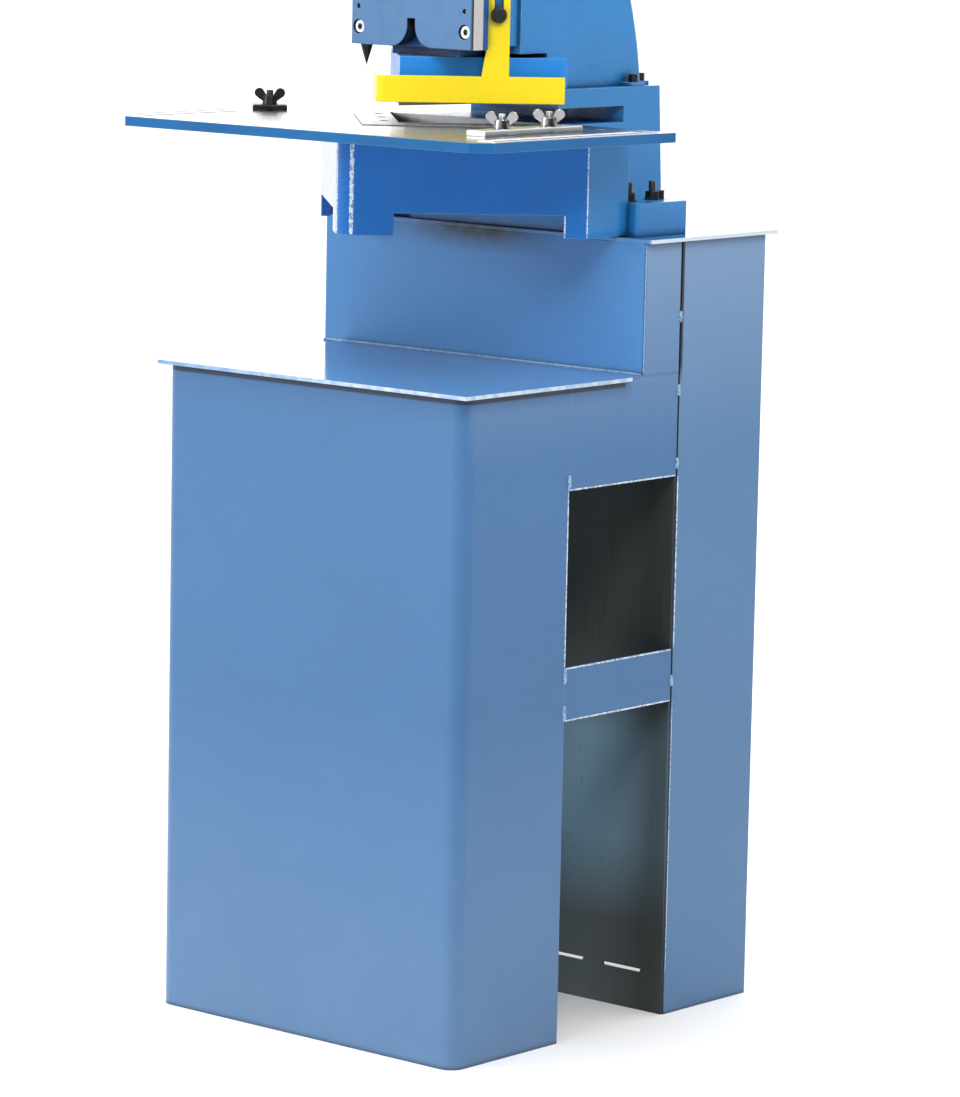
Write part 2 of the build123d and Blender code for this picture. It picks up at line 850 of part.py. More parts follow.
def wing_nut(place, turn):
    """Wing nut on a T-bolt: a round hub with two ears that rise outwards."""
    seat = (*place, stop_top + slide_gap)
    across = (cos(radians(turn)), sin(radians(turn)), 0)
    hub_plane = Plane(origin=seat, x_dir=across, z_dir=(0, 0, 1))
    ear_plane = Plane(origin=seat, x_dir=across, z_dir=(across[1], -across[0], 0))
    with BuildPart() as nut:
        with BuildSketch(hub_plane):
            Circle(wing_hub_radius)
        extrude(amount=wing_hub_height, taper=wing_hub_taper)
        with BuildSketch(ear_plane):
            with Locations((wing_span / 2 - wing_tip_radius, wing_rise - wing_tip_radius)):
                Circle(wing_tip_radius)
            with Locations((wing_hub_radius / 2, wing_hub_height / 2)):
                Circle(wing_root_radius)
            make_hull()
            mirror(about=Plane.YZ)
        extrude(amount=wing_thickness / 2, both=True)
        with BuildSketch(hub_plane):
            Circle(stop_bolt_radius + thread_gap)
        extrude(amount=wing_rise, mode=Mode.SUBTRACT)
    return nut.part


save(stop_bar(right_stop_length, right_stop_middle, 90, right_stop_places), "right_stop")
save(stop_bolts(right_stop_places, 0), "right_stop_bolts")
save(wing_nut(right_stop_places[0], wing_turn), "wing_nut_right_front")
save(wing_nut(right_stop_places[1], wing_turn + wing_turn_step), "wing_nut_right_rear")
save(stop_bar(left_stop_length, left_stop_places[0], 45, left_stop_places), "left_stop")
save(stop_bolts(left_stop_places, 45), "left_stop_bolt")
save(wing_nut(left_stop_places[0], wing_turn), "wing_nut_left")

# Upper frame: a casting with a swept back, a slot for the ram and a bolted flange
head_front_plane = Plane.XZ.offset(-back(head_front_depth))
keeper_screw_places = [
    (side * keeper_screw_side, keeper_bottom + rise) for side in (-1, 1) for rise in keeper_screw_rises
]
bridge_screw_places = [
    point(side * bridge_screw_side, head_front_depth + setback)
    for side in (-1, 1)
    for setback in bridge_screw_setbacks
]
head_crown_depth = head_foot_depth - head_crown_sweep
with BuildPart() as upper_frame:
    with BuildSketch(Plane.YZ.offset(-head_half_width)):
        with BuildLine():
            Polyline(
                (back(head_crown_depth), head_top),
                (back(head_front_depth), head_top),
                (back(head_front_depth), head_relief_top),
                (back(lip_front_depth), head_relief_top),
                (back(lip_front_depth), frame_joint),
                (back(head_foot_depth), frame_joint),
            )
            ThreePointArc(
                (back(head_foot_depth), frame_joint),
                (back(head_foot_depth - head_neck_sweep), frame_joint + head_neck_rise),
                (back(head_crown_depth), head_top),
            )
        make_face()
    extrude(amount=2 * head_half_width)
    fillet(upper_frame.edges().filter_by(GeomType.CIRCLE), casting_radius)
    with BuildSketch(Plane.XY.offset(frame_joint)):
        with Locations(point(0, (flange_front_depth + flange_rear_depth) / 2)):
            Rectangle(2 * head_half_width, flange_rear_depth - flange_front_depth)
        with Locations(point(0, flange_front_depth + flange_ear / 2)):
            RectangleRounded(2 * flange_half_width, flange_ear, casting_radius)
    extrude(amount=flange_height)
    with BuildSketch(head_front_plane):
        with Locations((0, (head_relief_top + head_top) / 2)):
            Rectangle(2 * (tongue_half_width + slide_gap), head_top - head_relief_top)
    extrude(amount=-(tongue_depth + slide_gap), mode=Mode.SUBTRACT)
    with BuildSketch(head_front_plane):
        with Locations(*keeper_screw_places):
            Circle(cap_shank_radius)
    extrude(amount=-cap_grip, mode=Mode.SUBTRACT)
    with BuildSketch(Plane.XY.offset(frame_joint)):
        with Locations(*frame_bolt_places):
            Circle(frame_bolt_radius)
    extrude(amount=flange_height, mode=Mode.SUBTRACT)
    with BuildSketch(Plane.XY.offset(head_top)):
        with Locations(*bridge_screw_places):
            Circle(cap_shank_radius)
    extrude(amount=-cap_grip, mode=Mode.SUBTRACT)
save(upper_frame.part, "upper_frame")

with BuildPart() as frame_bolts:
    with BuildSketch(Plane.XY.offset(frame_joint - frame_bolt_grip)):
        with Locations(*frame_bolt_places):
            Circle(frame_bolt_radius)
    extrude(amount=frame_bolt_grip + flange_height)
    with BuildSketch(Plane.XY.offset(frame_joint + flange_height)):
        with Locations(*frame_bolt_places):
            RegularPolygon(frame_bolt_flats / 2, 6, major_radius=False)
    extrude(amount=frame_bolt_head)
save(frame_bolts.part, "frame_bolts")

# Keepers that hold the ram tongue in its slot
keeper_front_plane = head_front_plane.offset(keeper_thickness)
keeper_inner = ram_half_width + slide_gap
keeper_middle = (keeper_inner + keeper_half_width) / 2
for side, name in ((-1, "keeper_left"), (1, "keeper_right")):
    with BuildPart() as keeper:
        with BuildSketch(head_front_plane):
            with Locations((side * keeper_middle, (keeper_bottom + keeper_top) / 2)):
                Rectangle(keeper_half_width - keeper_inner, keeper_height)
        extrude(amount=keeper_thickness)
        with BuildSketch(keeper_front_plane):
            with Locations(*[place for place in keeper_screw_places if place[0] * side > 0]):
                Circle(cap_bore_radius)
        extrude(amount=-cap_bore_depth, mode=Mode.SUBTRACT)
        with BuildSketch(head_front_plane):
            with Locations(*[place for place in keeper_screw_places if place[0] * side > 0]):
                Circle(cap_shank_radius)
        extrude(amount=keeper_thickness, mode=Mode.SUBTRACT)
    save(keeper.part, name)


def cap_screws(plane, places, length):
    """Socket cap screws whose heads sit below this face plane in their counterbores."""
    seat = plane.offset(-cap_bore_depth)
    with BuildPart() as screws:
        with BuildSketch(seat):
            with Locations(*places):
                Circle(cap_head_radius)
        extrude(amount=cap_head_height)
        with BuildSketch(seat):
            with Locations(*places):
                Circle(cap_shank_radius)
        extrude(amount=-length)
        with BuildSketch(seat.offset(cap_head_height)):
            with Locations(*places):
                RegularPolygon(cap_socket_flats / 2, 6, major_radius=False)
        extrude(amount=-cap_socket_depth, mode=Mode.SUBTRACT)
    return screws.part


keeper_grip = keeper_thickness - cap_bore_depth + cap_grip
save(cap_screws(keeper_front_plane, keeper_screw_places, keeper_grip), "keeper_screws")

# Ram: a tongue in the frame slot, a neck between the keepers and a wide front flange
ram_flange_depth = ram_front_depth - ram_flange
ram_flange_plane = Plane.XZ.offset(-back(ram_flange_depth))
plate_front_plane = ram_flange_plane.offset(plate_thickness)
plate_screw_height = plate_bottom + plate_screw_rise
plate_screw_places = [(side * plate_screw_side, plate_screw_height) for side in (-1, 1)]
dowel_places = [(side * plate_screw_side, plate_bottom + dowel_rise) for side in (-1, 1)]
holder_screws_at = [
    point(side * x, head_front_depth + setback)
    for side in (-1, 1)
    for x, setback in (holder_screw_front, holder_screw_rear)
]
point_place = point(-point_side, ram_flange_depth - plate_thickness / 2)
rod_middle = point(0, ram_axis_depth)
rod_screw_offset = rod_screw_pitch_radius / root2
rod_screw_places = [
    (rod_middle[0] + dx * rod_screw_offset, rod_middle[1] + dy * rod_screw_offset)
    for dx in (-1, 1)
    for dy in (-1, 1)
]
with BuildPart() as ram:
    with BuildSketch(Plane.XY.offset(ram_bottom)):
        with Locations(point(0, (ram_front_depth + head_front_depth + slide_gap) / 2)):
            Rectangle(2 * ram_half_width, head_front_depth + slide_gap - ram_front_depth)
        with Locations(point(0, head_front_depth + (slide_gap + tongue_depth) / 2)):
            Rectangle(2 * tongue_half_width, tongue_depth - slide_gap)
    extrude(amount=ram_height)
    with BuildSketch(Plane.XZ.offset(-back(ram_front_depth))):
        with Locations((0, (plate_bottom + plate_top) / 2)):
            Rectangle(2 * plate_half_width, plate_height)
    extrude(amount=ram_flange)
    with BuildSketch(ram_flange_plane):
        with Locations(*plate_screw_places):
            Circle(cap_shank_radius)
        with Locations(*dowel_places):
            Circle(dowel_radius)
    extrude(amount=-ram_flange, mode=Mode.SUBTRACT)
    with BuildSketch(Plane.XY.offset(ram_bottom)):
        with Locations(*holder_screws_at):
            Circle(cap_shank_radius)
    extrude(amount=cap_grip, mode=Mode.SUBTRACT)
    with BuildSketch(Plane.XY.offset(ram_top)):
        with Locations(*rod_screw_places):
            Circle(rod_screw_radius)
    extrude(amount=-rod_screw_grip, mode=Mode.SUBTRACT)
save(ram.part, "ram")

# Face plate of the ram, with a slot at the bottom that flares out between two round lobes
with BuildPart() as ram_plate:
    with BuildSketch(ram_flange_plane) as plate_outline:
        with Locations((0, (plate_bottom + plate_top) / 2)):
            Rectangle(2 * plate_half_width, plate_height)
        with Locations((0, plate_bottom)):
            Rectangle(2 * relief_half_width, 2 * relief_height, mode=Mode.SUBTRACT)
        bottom_corners = plate_outline.vertices().group_by(Axis.Y)[0]
        fillet(bottom_corners.filter_by(lambda v: abs(v.X) < relief_radius), relief_radius)
    extrude(amount=plate_thickness)
    side_edges = ram_plate.edges().filter_by(Axis.Z).group_by(Axis.Y)[0]
    fillet(side_edges.filter_by(lambda e: abs(e.center().X) > plate_screw_side), plate_edge_radius)
    with BuildSketch(plate_front_plane):
        with Locations(*plate_screw_places):
            Circle(cap_bore_radius)
    extrude(amount=-cap_bore_depth, mode=Mode.SUBTRACT)
    with BuildSketch(ram_flange_plane):
        with Locations(*plate_screw_places):
            Circle(cap_shank_radius)
        with Locations(*dowel_places):
            Circle(dowel_radius)
    extrude(amount=plate_thickness, mode=Mode.SUBTRACT)
    with BuildSketch(Plane.XY.offset(plate_bottom)):
        with Locations(point_place):
            Circle(point_shank_radius)
    extrude(amount=point_shank, mode=Mode.SUBTRACT)
save(ram_plate.part, "ram_plate")

plate_grip = plate_thickness - cap_bore_depth + ram_flange
save(cap_screws(plate_front_plane, plate_screw_places, plate_grip), "plate_screws")

with BuildPart() as plate_dowels:
    with BuildSketch(ram_flange_plane.offset(-ram_flange)):
        with Locations(*dowel_places):
            Circle(dowel_radius)
    extrude(amount=ram_flange + plate_thickness - dowel_radius)
save(plate_dowels.part, "plate_dowels")

# Setting point: a tool steel cone that screws into the underside of the face plate
with BuildPart() as setting_point:
    with BuildSketch(Plane(origin=(*point_place, 0), x_dir=(1, 0, 0), z_dir=(0, -1, 0))):
        with BuildLine():
            Polyline(
                (0, plate_bottom - point_cone),
                (point_radius, plate_bottom),
                (point_shank_radius, plate_bottom),
                (point_shank_radius, plate_bottom + point_shank),
                (0, plate_bottom + point_shank),
                close=True,
            )
        make_face()
    revolve(axis=Axis((*point_place, 0), (0, 0, 1)))
save(setting_point.part, "setting_point")

# Knife holder: a V-nosed block under the ram
upper_screw_places = [
    arm_point(vertex_depth, upper_knife_width + share * upper_screw_run, upper_knife_width / 2, side)
    for side in (-1, 1)
    for share in spread(knife_screw_count)
]
with BuildPart() as knife_holder:
    with BuildSketch(Plane.XY.offset(holder_bottom)):
        Polygon(*v_outline(vertex_depth, holder_half_width, holder_rear_depth), align=None)
    extrude(amount=holder_height)
    with BuildSketch(Plane.XY.offset(holder_bottom)):
        with Locations(*holder_screws_at):
            Circle(cap_bore_radius)
    extrude(amount=cap_bore_depth, mode=Mode.SUBTRACT)
    with BuildSketch(Plane.XY.offset(holder_bottom)):
        with Locations(*holder_screws_at):
            Circle(cap_shank_radius)
    extrude(amount=holder_height, mode=Mode.SUBTRACT)
    with BuildSketch(Plane.XY.offset(holder_bottom)):
        with Locations(*upper_screw_places):
            Circle(knife_screw_radius)
    extrude(amount=knife_screw_grip, mode=Mode.SUBTRACT)
save(knife_holder.part, "knife_holder")

holder_face = Plane(origin=(0, 0, holder_bottom), x_dir=(1, 0, 0), z_dir=(0, 0, -1))
holder_places = [(x, -y) for x, y in holder_screws_at]
holder_grip = holder_height - cap_bore_depth + cap_grip
save(cap_screws(holder_face, holder_places, holder_grip), "holder_screws")

# Upper knives, raked so that the cut starts at the point of the V
upper_reach = cut_half_width - upper_knife_end_gap
knife_bottom = holder_bottom - upper_knife_drop
knife_rear_plane = Plane.XZ.offset(-back(die_rear_depth - die_wall - upper_knife_rear_gap))
for side, name in ((-1, "upper_knife_left"), (1, "upper_knife_right")):
    with BuildPart() as upper_knife:
        with BuildSketch(Plane.XY.offset(knife_bottom)):
            Polygon(
                *arm_outline(vertex_depth, vertex_depth + upper_knife_width * root2, upper_reach, side),
                align=None,
            )
        extrude(amount=upper_knife_drop)
        with BuildSketch(wing_plane(vertex_depth, side, knife_bottom)):
            Polygon((0, 0), (2 * upper_reach, 0), (2 * upper_reach, upper_knife_rake * root2), align=None)
        extrude(amount=2 * upper_knife_width, both=True, mode=Mode.SUBTRACT)
        split(bisect_by=knife_rear_plane, keep=Keep.TOP)
        places = [place for place in upper_screw_places if place[0] * side > 0]
        with BuildSketch(Plane.XY.offset(knife_bottom)):
            with Locations(*places):
                Circle(knife_bore_radius)
        extrude(amount=upper_knife_rake + knife_bore_depth, mode=Mode.SUBTRACT)
        with BuildSketch(Plane.XY.offset(knife_bottom)):
            with Locations(*places):
                Circle(knife_screw_radius)
        extrude(amount=upper_knife_drop, mode=Mode.SUBTRACT)
    save(upper_knife.part, name)

upper_screw_seat = knife_bottom + upper_knife_rake + knife_bore_depth
with BuildPart() as upper_knife_screws:
    with BuildSketch(Plane.XY.offset(upper_screw_seat)):
        with Locations(*upper_screw_places):
            Circle(knife_screw_radius)
    extrude(amount=holder_bottom + knife_screw_grip - upper_screw_seat)
    with BuildSketch(Plane.XY.offset(upper_screw_seat - knife_screw_head)):
        with Locations(*upper_screw_places):
            Circle(knife_screw_head_radius)
    extrude(amount=knife_screw_head)
save(upper_knife_screws.part, "upper_knife_screws")

# Guard: a bent bar round the V with a slotted strap on the right
strap_middle = strap_side * root2
guard_top = guard_bottom + guard_height
guard_bolt_height = guard_bottom + guard_bolt_rise
guard_bolt_places = [
    (strap_middle, guard_bolt_height),
    (strap_middle, guard_bolt_height + guard_bolt_pitch),
]
guard_face = wing_plane(guard_nose_depth, 1, 0)
with BuildPart() as guard:
    with BuildSketch(Plane.XY.offset(guard_bottom)):
        with BuildLine():
            FilletPolyline(
                point(-guard_left_reach, guard_nose_depth + guard_left_reach),
                point(0, guard_nose_depth),
                point(guard_right_reach, guard_nose_depth + guard_right_reach),
                radius=guard_bend_radius,
            )
            offset(amount=guard_thickness, side=Side.LEFT)
        make_face()
    extrude(amount=guard_height)
    with BuildSketch(guard_face):
        with BuildLine():
            Polyline(
                (strap_middle - strap_width / 2 - strap_flare, guard_bottom),
                (strap_middle + strap_width / 2, guard_bottom),
                (strap_middle + strap_width / 2, guard_bottom + strap_height),
                (strap_middle - strap_width / 2, guard_bottom + strap_height),
                (strap_middle - strap_width / 2, guard_top + strap_flare_height),
                (strap_middle - strap_width / 2 - strap_flare, guard_top),
                close=True,
            )
        make_face()
        slot_width = 2 * (guard_bolt_radius + guard_slot_play)
        with Locations(*[(x, height + guard_travel / 2) for x, height in guard_bolt_places]):
            SlotOverall(guard_travel + slot_width, slot_width, rotation=90, mode=Mode.SUBTRACT)
    extrude(amount=-guard_thickness)
save(guard.part, "guard")

# Bracket between the guard strap and the right keeper
bracket_nose = guard_nose_depth + (guard_thickness + slide_gap) * root2
bracket_near = (strap_middle - bracket_width / 2) / root2 - (guard_thickness + slide_gap) / root2
bracket_far = bracket_near + bracket_width / root2
keeper_front_depth = head_front_depth - keeper_thickness
with BuildPart() as guard_bracket:
    with BuildSketch(Plane.XY.offset(guard_bolt_height - bracket_drop)):
        Polygon(
            point(bracket_near, bracket_nose + bracket_near),
            point(bracket_far, bracket_nose + bracket_far),
            point(bracket_nose + 2 * bracket_far - keeper_front_depth, keeper_front_depth),
            point(bracket_nose + 2 * bracket_near - keeper_front_depth, keeper_front_depth),
            align=None,
        )
    extrude(amount=bracket_height)
    with BuildSketch(guard_face):
        with Locations(*guard_bolt_places):
            Circle(guard_bolt_radius)
    extrude(amount=-(guard_thickness + guard_bolt_grip), mode=Mode.SUBTRACT)
save(guard_bracket.part, "guard_bracket")

with BuildPart() as guard_washers:
    with BuildSketch(guard_face.offset(slide_gap)):
        with Locations(*guard_bolt_places):
            Circle(guard_washer_radius)
            Circle(guard_bolt_radius, mode=Mode.SUBTRACT)
    extrude(amount=guard_washer_thickness)
save(guard_washers.part, "guard_washers")

guard_bolt_seat = guard_face.offset(slide_gap + guard_washer_thickness)
with BuildPart() as guard_bolts:
    with BuildSketch(guard_bolt_seat):
        with Locations(*guard_bolt_places):
            RegularPolygon(guard_bolt_flats / 2, 6, major_radius=False)
    extrude(amount=guard_bolt_head)
    with BuildSketch(guard_bolt_seat):
        with Locations(*guard_bolt_places):
            Circle(guard_bolt_radius)
    extrude(amount=-(slide_gap + guard_washer_thickness + guard_thickness + guard_bolt_grip))
save(guard_bolts.part, "guard_bolts")

# Bridge on top of the head, which carries the cylinder over the ram
tie_rod_places = [
    (rod_middle[0] + dx * tie_rod_pitch / 2, rod_middle[1] + dy * tie_rod_pitch / 2)
    for dx in (-1, 1)
    for dy in (-1, 1)
]
with BuildPart() as cylinder_bridge:
    with BuildSketch(Plane.XY.offset(head_top)):
        with Locations(point(0, (bridge_front_depth + bridge_rear_depth) / 2)):
            RectangleRounded(2 * bridge_half_width, bridge_rear_depth - bridge_front_depth, casting_radius)
        with Locations(rod_middle):
            Circle(rod_radius + piston_gap, mode=Mode.SUBTRACT)
    extrude(amount=bridge_thickness)
    with BuildSketch(Plane.XY.offset(head_top)):
        with Locations(*bridge_screw_places):
            Circle(cap_shank_radius)
        with Locations(*tie_rod_places):
            Circle(tie_rod_radius)
    extrude(amount=bridge_thickness, mode=Mode.SUBTRACT)
    with BuildSketch(Plane.XY.offset(bridge_top)):
        with Locations(*bridge_screw_places):
            Circle(cap_bore_radius)
    extrude(amount=-cap_bore_depth, mode=Mode.SUBTRACT)
save(cylinder_bridge.part, "cylinder_bridge")
bridge_grip = bridge_thickness - cap_bore_depth + cap_grip
save(cap_screws(Plane.XY.offset(bridge_top), bridge_screw_places, bridge_grip), "bridge_screws")

# Cylinder: two square caps, a tube and four tie rods
for base, height, bored, name in (
    (bridge_top, lower_cap_height, True, "cylinder_lower_cap"),
    (tube_top, upper_cap_height, False, "cylinder_upper_cap"),
):
    with BuildPart() as cap:
        with BuildSketch(Plane.XY.offset(base)):
            with Locations(rod_middle):
                RectangleRounded(cap_side, cap_side, casting_radius)
            if bored:
                with Locations(rod_middle):
                    Circle(rod_radius + piston_gap, mode=Mode.SUBTRACT)
            with Locations(*tie_rod_places):
                Circle(tie_rod_radius, mode=Mode.SUBTRACT)
        extrude(amount=height)
    save(cap.part, name)

with BuildPart() as cylinder_tube:
    with BuildSketch(Plane.XY.offset(tube_bottom)):
        with Locations(rod_middle):
            Circle(tube_radius)
            Circle(tube_bore, mode=Mode.SUBTRACT)
    extrude(amount=tube_length)
save(cylinder_tube.part, "cylinder_tube")

upper_cap_top = tube_top + upper_cap_height
with BuildPart() as tie_rods:
    with BuildSketch(Plane.XY.offset(head_top)):
        with Locations(*tie_rod_places):
            Circle(tie_rod_radius)
    extrude(amount=upper_cap_top + tie_rod_end - head_top)
    with BuildSketch(Plane.XY.offset(upper_cap_top)):
        with Locations(*tie_rod_places):
            RegularPolygon(tie_nut_flats / 2, 6, major_radius=False)
    extrude(amount=tie_nut_height)
save(tie_rods.part, "tie_rods")

# Piston rod with its piston and the flange that bolts to the ram
with BuildPart() as piston_rod:
    for base, radius, height in (
        (ram_top, rod_flange_radius, rod_flange_height),
        (ram_top, rod_radius, piston_top - ram_top),
        (piston_top - piston_height, tube_bore - piston_gap, piston_height),
    ):
        with BuildSketch(Plane.XY.offset(base)):
            with Locations(rod_middle):
                Circle(radius)
        extrude(amount=height)
    with BuildSketch(Plane.XY.offset(ram_top)):
        with Locations(*rod_screw_places):
            Circle(rod_screw_radius)
    extrude(amount=rod_flange_height, mode=Mode.SUBTRACT)
save(piston_rod.part, "piston_rod")

with BuildPart() as rod_screws:
    with BuildSketch(Plane.XY.offset(ram_top - rod_screw_grip)):
        with Locations(*rod_screw_places):
            Circle(rod_screw_radius)
    extrude(amount=rod_screw_grip + rod_flange_height)
    with BuildSketch(Plane.XY.offset(ram_top + rod_flange_height)):
        with Locations(*rod_screw_places):
            Circle(rod_screw_head_radius)
    extrude(amount=rod_screw_head)
save(rod_screws.part, "rod_screws")

with BuildPart() as rod_wiper:
    with BuildSketch(Plane.XY.offset(head_top - wiper_height)):
        with Locations(rod_middle):
            Circle(wiper_radius)
            Circle(rod_radius + piston_gap, mode=Mode.SUBTRACT)
    extrude(amount=wiper_height)
save(rod_wiper.part, "rod_wiper")

# Oil port fittings on the back of the two caps
cap_rear_plane = Plane.XZ.offset(-back(ram_axis_depth) - cap_side / 2)
port_places = [(0, bridge_top + lower_cap_height / 2), (0, tube_top + upper_cap_height / 2)]
with BuildPart() as port_fittings:
    with BuildSketch(cap_rear_plane):
        with Locations(*port_places):
            RegularPolygon(port_flats / 2, 6, major_radius=False)
    extrude(amount=-port_hex)
    with BuildSketch(cap_rear_plane.offset(-port_hex)):
        with Locations(*port_places):
            Circle(port_radius)
    extrude(amount=-port_length)
    with BuildSketch(cap_rear_plane.offset(-port_hex - port_length)):
        with Locations(*port_places):
            Circle(port_bore)
    extrude(amount=port_length, mode=Mode.SUBTRACT)
save(port_fittings.part, "port_fittings")
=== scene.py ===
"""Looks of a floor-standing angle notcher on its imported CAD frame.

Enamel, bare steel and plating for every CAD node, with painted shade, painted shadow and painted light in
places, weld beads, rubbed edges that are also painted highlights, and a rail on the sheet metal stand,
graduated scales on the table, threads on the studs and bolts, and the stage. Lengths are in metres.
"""
from functools import partial
from math import cos, pi, radians, sin

import bpy
import numpy as np
from bpy.props import FloatProperty, FloatVectorProperty, IntProperty, PointerProperty
from mathutils import Matrix, Vector


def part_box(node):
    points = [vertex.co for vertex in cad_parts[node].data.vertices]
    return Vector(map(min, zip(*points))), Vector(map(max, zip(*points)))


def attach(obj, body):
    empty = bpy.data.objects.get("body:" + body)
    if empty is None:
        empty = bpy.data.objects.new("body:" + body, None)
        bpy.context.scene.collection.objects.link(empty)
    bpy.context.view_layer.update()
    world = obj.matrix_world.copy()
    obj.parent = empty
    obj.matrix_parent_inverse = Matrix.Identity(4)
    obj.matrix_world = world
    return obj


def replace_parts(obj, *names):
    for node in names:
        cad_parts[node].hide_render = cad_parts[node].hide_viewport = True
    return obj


bl_info = {
    "name": "Angle notcher looks",
    "version": (1, 0, 0),
    "blender": (4, 5, 0),
    "location": "3D View > Sidebar > Notcher",
    "description": "Finishes, welds, rubbed edges, rail, scales, threads and stage of an angle notcher",
    "category": "Object",
}

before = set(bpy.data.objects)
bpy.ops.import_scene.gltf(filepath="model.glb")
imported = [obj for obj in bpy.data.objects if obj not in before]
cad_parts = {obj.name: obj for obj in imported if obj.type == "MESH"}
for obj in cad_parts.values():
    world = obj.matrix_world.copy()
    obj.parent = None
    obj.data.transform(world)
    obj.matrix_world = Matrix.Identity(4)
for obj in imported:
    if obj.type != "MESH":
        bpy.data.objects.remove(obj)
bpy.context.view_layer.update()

# Nodes of the CAD frame by finish
SHEET_NODES = ("front_shell", "side_header", "side_strip")
CAST_NODES = (
    "lower_frame", "upper_frame", "guard_bracket", "keeper_left", "keeper_right",
    "cylinder_bridge", "cylinder_lower_cap", "cylinder_upper_cap", "cylinder_tube",
)
GROUND_NODES = ("die_block", "lower_knife_left", "lower_knife_right")
KNIFE_NODES = ("upper_knife_left", "upper_knife_right")
BLACK_NODES = (
    "hold_down_nuts", "hold_down_washers", "jack_screws", "keeper_screws", "holder_screws",
    "bridge_screws", "rod_screws", "die_screws", "lower_knife_screws", "upper_knife_screws",
    "setting_point", "left_stop", "wing_nut_left", "guard_bolts", "guard_washers", "frame_bolts",
)
ZINC_NODES = (
    "plate_screws", "table_screws", "plate_dowels", "tie_rods", "port_fittings", "right_stop",
)
NICKEL_NODES = ("wing_nut_right_front", "wing_nut_right_rear")

# Soil, rust and bare steel that show through the finishes, and the dark colours of painted shadow and
# painted shade
# Painted shadow of the die housing
HOUSING_SHADOW = (0.014, 0.017, 0.012, 1.0)
RUST = (0.085, 0.048, 0.030, 1.0)
# Painted shade on the walls of the face plate's slot and on its underside
SLOT_SHADE = (0.020, 0.024, 0.030, 1.0)
STAIN = (0.30, 0.28, 0.25, 1.0)
BROWN_FILM = (0.038, 0.032, 0.028, 1.0)
GREY_STEEL = (0.30, 0.30, 0.31, 1.0)

# Directions, and how a grain is stretched along the axes
RIGHT = (1, 0, 0)
LEFT = (-1, 0, 0)
DIAGONAL = 1 / 2 ** 0.5
EVEN = (1.0, 1.0, 1.0)
COARSE = (2.0, 2.0, 2.0)
FINE = (3.0, 3.0, 3.0)
ALONG_DEPTH = (30.0, 0.6, 1.0)
ALONG_WIDTH = (0.6, 30.0, 1.0)

# Run over which one paint gives way to another
FADE = 0.001

# Ends of a share, and the spans of a noise's value and of an edge's cosine that it goes over
RISE = (0.0, 1.0)
FALL = (1.0, 0.0)
NOISE_MIDDLE = (0.3, 0.7)
NOISE_SPAN = (0.2, 0.8)
EDGE_SPAN = (0.96, 0.75)

# Shape of the weld beads and where the short ones lie
BEAD_SIDES = 16
BEAD_ROWS = 12
RIPPLE_ROWS = 6
RIPPLE_RISE = 0.16
BEAD_SINK = 0.3
SEAM_STITCHES = 6
HEADER_WELD = 0.016
STRIP_WELD = 0.017
LIP_WELD_STEP = 0.043

# Shape of the rubbed strips
STRIP_SIDES = 8
STRIP_ROWS = 24
STRIP_STEP = 0.0012
LONG_WAVE = 0.0019
SHORT_WAVE = 0.00071
WAVE_RISE = 0.12
FOOT_CROWNS = 3
BEND_SINK = 1.6

# Shape of the threads, in pitches and depths
THREAD_ROWS = 8
TOOTH_SLOPE = 1.25
TOOTH_FLAT = 0.1
CHAMFER_DEPTHS = 1.4

# Print of the scales
INK_THICK = 0.00006
SCALE_MARGIN = 0.002
LINE_GAP = 0.001
LONG_LINE = 0.011
MIDDLE_LINE = 0.0085
SHORT_LINE = 0.006
FIGURE_INSET = 0.0155
FIGURE_STEP = 20

# Stage
KEY_AIM = (0.0, 0.0, 0.7)
FILL_AIM = (0.0, 0.0, 1.0)
GLOW_POWER = 6.0
SHADE_POWER = 1.0
DIMMEST = 0.05
WHITE = (1.0, 1.0, 1.0, 1.0)
CAMERA_REACH = 400.0


def tint(name, description, default):
    """Setting for a colour."""
    return FloatVectorProperty(
        name=name, description=description, default=default, subtype="COLOR", size=3, min=0.0, max=1.0,
    )


def metres(name, description, default, least=0.0):
    """Setting for a length."""
    return FloatProperty(
        name=name, description=description, default=default, unit="LENGTH", min=least, precision=6,
    )


def fraction(name, description, default):
    """Setting for a share from 0 to 1."""
    return FloatProperty(
        name=name, description=description, default=default, subtype="FACTOR", min=0.0, max=1.0,
    )


def degrees(name, description, default):
    """Setting for an angle, with its default in degrees."""
    return FloatProperty(name=name, description=description, default=radians(default), subtype="ANGLE")


def spot(name, description, default):
    """Setting for a place in the frame."""
    return FloatVectorProperty(
        name=name, description=description, default=default, subtype="TRANSLATION", unit="LENGTH", size=3,
    )


def amount(name, description, default, unit="NONE"):
    """Setting for a strength, a power or a focal length."""
    return FloatProperty(name=name, description=description, default=default, unit=unit, min=0.0)


